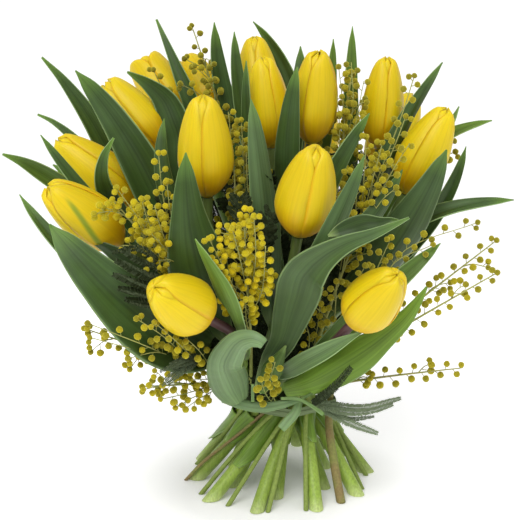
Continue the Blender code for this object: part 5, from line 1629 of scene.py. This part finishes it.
def ball_pattern():
    """The flower head that all the others are copied from: a small ball, a little uneven."""
    bpy.ops.mesh.primitive_uv_sphere_add(segments=8, ring_count=6, radius=1.0)
    obj = bpy.context.object
    draw = random.Random(7)
    for v in obj.data.vertices:
        v.co *= draw.uniform(0.93, 1.06)
    return obj


def leaflet_pattern():
    """The leaflet that all the others are copied from: a flat diamond, 2 long along its Z."""
    bpy.ops.mesh.primitive_uv_sphere_add(segments=4, ring_count=2, radius=1.0)
    return bpy.context.object


def ring(outline, count):
    """A smooth closed loop of count points through the outline."""
    closed = np.vstack([outline[-2:], outline, outline[:2]])
    fine = smooth_path(np.column_stack([closed, np.zeros(len(closed))]), 400)
    angle = np.unwrap(np.arctan2(fine[:, 1], fine[:, 0]))
    wanted = angle[len(angle) // 2] + np.linspace(-math.pi, math.pi, count, endpoint=False)
    return np.column_stack([np.interp(wanted, angle, fine[:, k]) for k in range(2)])


def add_tie(look, finish):
    """Flat strands of raffia wound round the stems."""
    paths, radii, _ = laid_out()
    draw = random.Random(41)
    turns = np.linspace(0, 2 * math.pi, STRAND_STEPS, endpoint=False)
    runs = []
    for k in range(look.raffia_turns):
        offset = 2 * GAP + TIE_BAND_THICKNESS * (0.25 + 0.6 * (k % 3) / 2)
        loop = ring(np.array(tie_outline(paths, radii, offset)), STRAND_STEPS)
        level = TIE_HEIGHT + (k / max(1, look.raffia_turns - 1) - 0.5) * (TIE_BAND_HEIGHT - look.raffia_width)
        phase = draw.uniform(0, 2 * math.pi)
        z = level + 0.0006 * np.sin(turns + phase) + 0.0002 * np.sin(5 * turns + 3 * phase)
        runs.append((np.column_stack([loop, z]), 1.0))
    section = {"twist_mode": "Z_UP", "extrude": 0.5 * look.raffia_width, "bevel_depth": STRAND_EDGE_R}
    obj = swept("raffia_strands", runs, finish, closed=True, bevel_resolution=1, **section)
    obj.data.name = obj.name
    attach(obj, "root")
    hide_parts("tie_band")


def colour(name, description, hex_colour):
    return FloatVectorProperty(
        name=name, description=description, default=linear(hex_colour), subtype="COLOR", min=0.0, max=1.0
    )


def in_metres(name, description, default):
    return FloatProperty(name=name, description=description, default=default, unit="LENGTH")


def in_degrees(name, description, degrees):
    return FloatProperty(name=name, description=description, default=math.radians(degrees), subtype="ANGLE")


class BunchLook(bpy.types.PropertyGroup):
    """Sizes and colours of the flowers, leaves and tie."""

    petal_thickness: in_metres("Petal thickness", "Thickness of a petal", 0.0005)
    petal_spread: in_degrees("Petal spread", "Half the angle that an outer petal covers round the bloom", 65)
    petal_colour: colour("Petal", "Body of the petals", "#E4C00C")
    # Deeper gold: partly the petals' own, partly painted shade in their grooves and under the bloom.
    petal_gold_and_shade_colour: colour("Petal shade", "Petal edges and the lower part of the bloom", "#DDA404")
    petal_foot_colour: colour("Petal foot", "Where the petals meet the stem", "#B9A21C")
    petal_tip_colour: colour("Petal tip", "Tips of the petals", "#EAC81C")
    petal_flame_colour: colour("Petal flame", "Green streak down a petal", "#8C9A22")
    leaf_thickness: in_metres("Leaf thickness", "Thickness of a tulip leaf", 0.0007)
    leaf_colour: colour("Leaf", "Body of the tulip leaves", "#384F1E")
    leaf_wax_colour: colour("Leaf wax", "Wax bloom on the leaves", "#4E6844")
    # Painted glow of leaves that light shines through, and the paler green of withered leaf bases and torn
    # ends.
    leaf_backlit_and_pale_colour: colour("Young leaf", "Leaves that the light shines through", "#6A892B")
    leaf_underside_colour: colour("Leaf underside", "Leaves that turn their dusty side out", "#728C60")
    # Painted highlight along the leaf edges.
    leaf_rim_highlight_colour: colour("Leaf rim", "Paler edge of the leaves", "#8CA56C")
    leaf_foot_colour: colour("Leaf foot", "Where a leaf clasps its stem", "#9DB468")
    leaf_tip_colour: colour("Leaf tip", "Tips of the leaves", "#62842F")
    stem_colour: colour("Stem", "Tulip stems above the tie", "#5E7A34")
    stem_foot_colour: colour("Stem foot", "Tulip stems below the tie", "#8DA645")
    stem_cut_colour: colour("Stem cut", "Cut ends of the stems", "#B4C47C")
    stem_flush_colour: colour("Stem flush", "Purple flush under a bloom", "#5A3A40")
    ball_diameter: in_metres("Flower head", "Diameter of a mimosa flower head", 0.0049)
    ball_colour: colour("Flower head", "Open mimosa flower heads", "#BCAC1A")
    ball_bright_colour: colour("Bright head", "The freshest flower heads", "#E2C81A")
    ball_shade_colour: colour("Dull head", "Older flower heads", "#8E8622")
    ball_bud_colour: colour("Bud", "Flower heads that are still shut", "#686822")
    twig_colour: colour("Twig", "Flowering mimosa twigs", "#A3A45A")
    bark_colour: colour("Bark", "Woody mimosa stems near the cut", "#86754A")
    green_wood_colour: colour("Green wood", "Young mimosa stems near the cut", "#7E9044")
    frond_colour: colour("Feathery leaf", "Mimosa leaflets in the light", "#808F70")
    # Painted shade of the leaflets in the dark heart.
    frond_shade_colour: colour("Shaded feathery leaf", "Mimosa leaflets in the heart", "#222B12")
    raffia_width: in_metres("Raffia width", "Width of one strand", 0.0022)
    raffia_turns: IntProperty(name="Turns", description="Turns of raffia round the stems", default=5, min=1)
    raffia_colour: colour("Raffia", "Dried raffia", "#6F8058")


class StudioLook(bpy.types.PropertyGroup):
    """Floor, lights and camera."""

    floor_colour: colour("Floor", "Seamless paper", "#F7F7F7")
    # Painted glow of the floor near the stems and far out; it also lights the bunch from below.
    painted_floor_glow: FloatProperty(name="Floor glow", description="Light from behind the paper", default=0.06)
    # Stronger painted glow in a ring round the stems, which washes out the bunch's cast shadow.
    painted_ring_glow: FloatProperty(name="Ring glow", description="The same, round the stems", default=0.45)
    key_strength: FloatProperty(name="Key light", description="Strength of the soft key light", default=2.1)
    fill_strength: FloatProperty(name="Fill light", description="Strength of the soft fill light", default=0.22)
    sky_strength: FloatProperty(name="Surround", description="Brightness of the white surround", default=0.60)
    elevation: in_degrees("Elevation", "Camera's angle above level", 17)
    distance: in_metres("Distance", "Camera to the bunch", 1.4)
    frame_width: in_metres("Frame", "Width of the picture at the bunch", 0.338)


class BUNCH_OT_blooms(bpy.types.Operator):
    """Add the tulip blooms"""

    bl_idname = "bunch.blooms"
    bl_label = "Tulip blooms"

    def execute(self, context):
        look = context.scene.bunch_look
        finish = petal_material(look)
        for name in TULIPS:
            add_bloom(name, look, finish)
        return {"FINISHED"}


class BUNCH_OT_leafy_stems(bpy.types.Operator):
    """Add the tulip stems with their leaves"""

    bl_idname = "bunch.leafy_stems"
    bl_label = "Leafy stems"

    def execute(self, context):
        look = context.scene.bunch_look
        finishes = leaf_material(look), stem_material(look)
        for name in TULIPS:
            add_leafy_stem(name, look, finishes)
        return {"FINISHED"}


class BUNCH_OT_mimosa(bpy.types.Operator):
    """Add the mimosa sprays"""

    bl_idname = "bunch.mimosa"
    bl_label = "Mimosa sprays"

    def execute(self, context):
        look = context.scene.bunch_look
        finishes = ball_material(look), twig_material(look), feathery_material(look), leaf_material(look)
        masters = ball_pattern(), leaflet_pattern()
        for name in SPRAYS:
            add_spray(name, look, masters, finishes)
        for master in masters:
            bpy.data.objects.remove(master)
        return {"FINISHED"}


class BUNCH_OT_tie(bpy.types.Operator):
    """Add the raffia tie"""

    bl_idname = "bunch.tie"
    bl_label = "Raffia tie"

    def execute(self, context):
        look = context.scene.bunch_look
        add_tie(look, raffia_material(look))
        return {"FINISHED"}


class BUNCH_OT_studio(bpy.types.Operator):
    """Add the floor, lights and camera"""

    bl_idname = "bunch.studio"
    bl_label = "Studio"

    def execute(self, context):
        look = context.scene.bunch_studio
        deselect()
        bpy.ops.mesh.primitive_circle_add(
            vertices=96, radius=FLOOR_RADIUS, fill_type="NGON", location=(0, 0, FLOOR_LEVEL)
        )
        floor = bpy.context.object
        floor.name = "floor"
        floor.data.materials.append(floor_material(look))
        world = bpy.data.worlds.new("white surround")
        world.use_nodes = True
        background = world.node_tree.nodes["Background"]
        background.inputs["Color"].default_value = (1.0, 1.0, 1.0, 1.0)
        background.inputs["Strength"].default_value = look.sky_strength
        context.scene.world = world
        for place, spread, strength in (
            ((-0.36, -0.95, 1.40), 42, look.key_strength),
            ((0.9, -1.0, 0.5), 50, look.fill_strength),
        ):
            bpy.ops.object.light_add(type="SUN", location=place)
            light = bpy.context.object
            light.rotation_euler = (CAMERA_TARGET - Vector(place)).to_track_quat("-Z", "Y").to_euler()
            light.data.angle = math.radians(spread)
            light.data.energy = strength
        tilt = look.elevation
        place = CAMERA_TARGET + look.distance * Vector((0.0, -math.cos(tilt), math.sin(tilt)))
        bpy.ops.object.camera_add(location=place, rotation=(math.pi / 2 - tilt, 0.0, 0.0))
        camera = bpy.context.object
        camera.data.sensor_width = SENSOR_WIDTH
        camera.data.lens = SENSOR_WIDTH * look.distance / look.frame_width
        context.scene.camera = camera
        context.scene.view_settings.view_transform = "Standard"
        return {"FINISHED"}


class BUNCH_PT_panel(bpy.types.Panel):
    """Lists the pieces of the bunch"""

    bl_label = "Bunch of tulips"
    bl_idname = "BUNCH_PT_panel"
    bl_space_type = "VIEW_3D"
    bl_region_type = "UI"
    bl_category = "Bunch"

    def draw(self, context):
        for operator in OPERATORS:
            self.layout.operator(operator.bl_idname)
        for look in (context.scene.bunch_look, context.scene.bunch_studio):
            for name in look.__annotations__:
                self.layout.prop(look, name)


OPERATORS = (BUNCH_OT_blooms, BUNCH_OT_leafy_stems, BUNCH_OT_mimosa, BUNCH_OT_tie, BUNCH_OT_studio)
CLASSES = (BunchLook, StudioLook, *OPERATORS, BUNCH_PT_panel)


def register():
    for made in CLASSES:
        bpy.utils.register_class(made)
    bpy.types.Scene.bunch_look = PointerProperty(type=BunchLook)
    bpy.types.Scene.bunch_studio = PointerProperty(type=StudioLook)


def unregister():
    del bpy.types.Scene.bunch_studio
    del bpy.types.Scene.bunch_look
    for made in reversed(CLASSES):
        bpy.utils.unregister_class(made)


def main():
    register()
    deselect()
    bpy.ops.bunch.blooms()
    bpy.ops.bunch.leafy_stems()
    bpy.ops.bunch.mimosa()
    bpy.ops.bunch.tie()
    bpy.ops.bunch.studio()


if __name__ == "__main__":
    main()
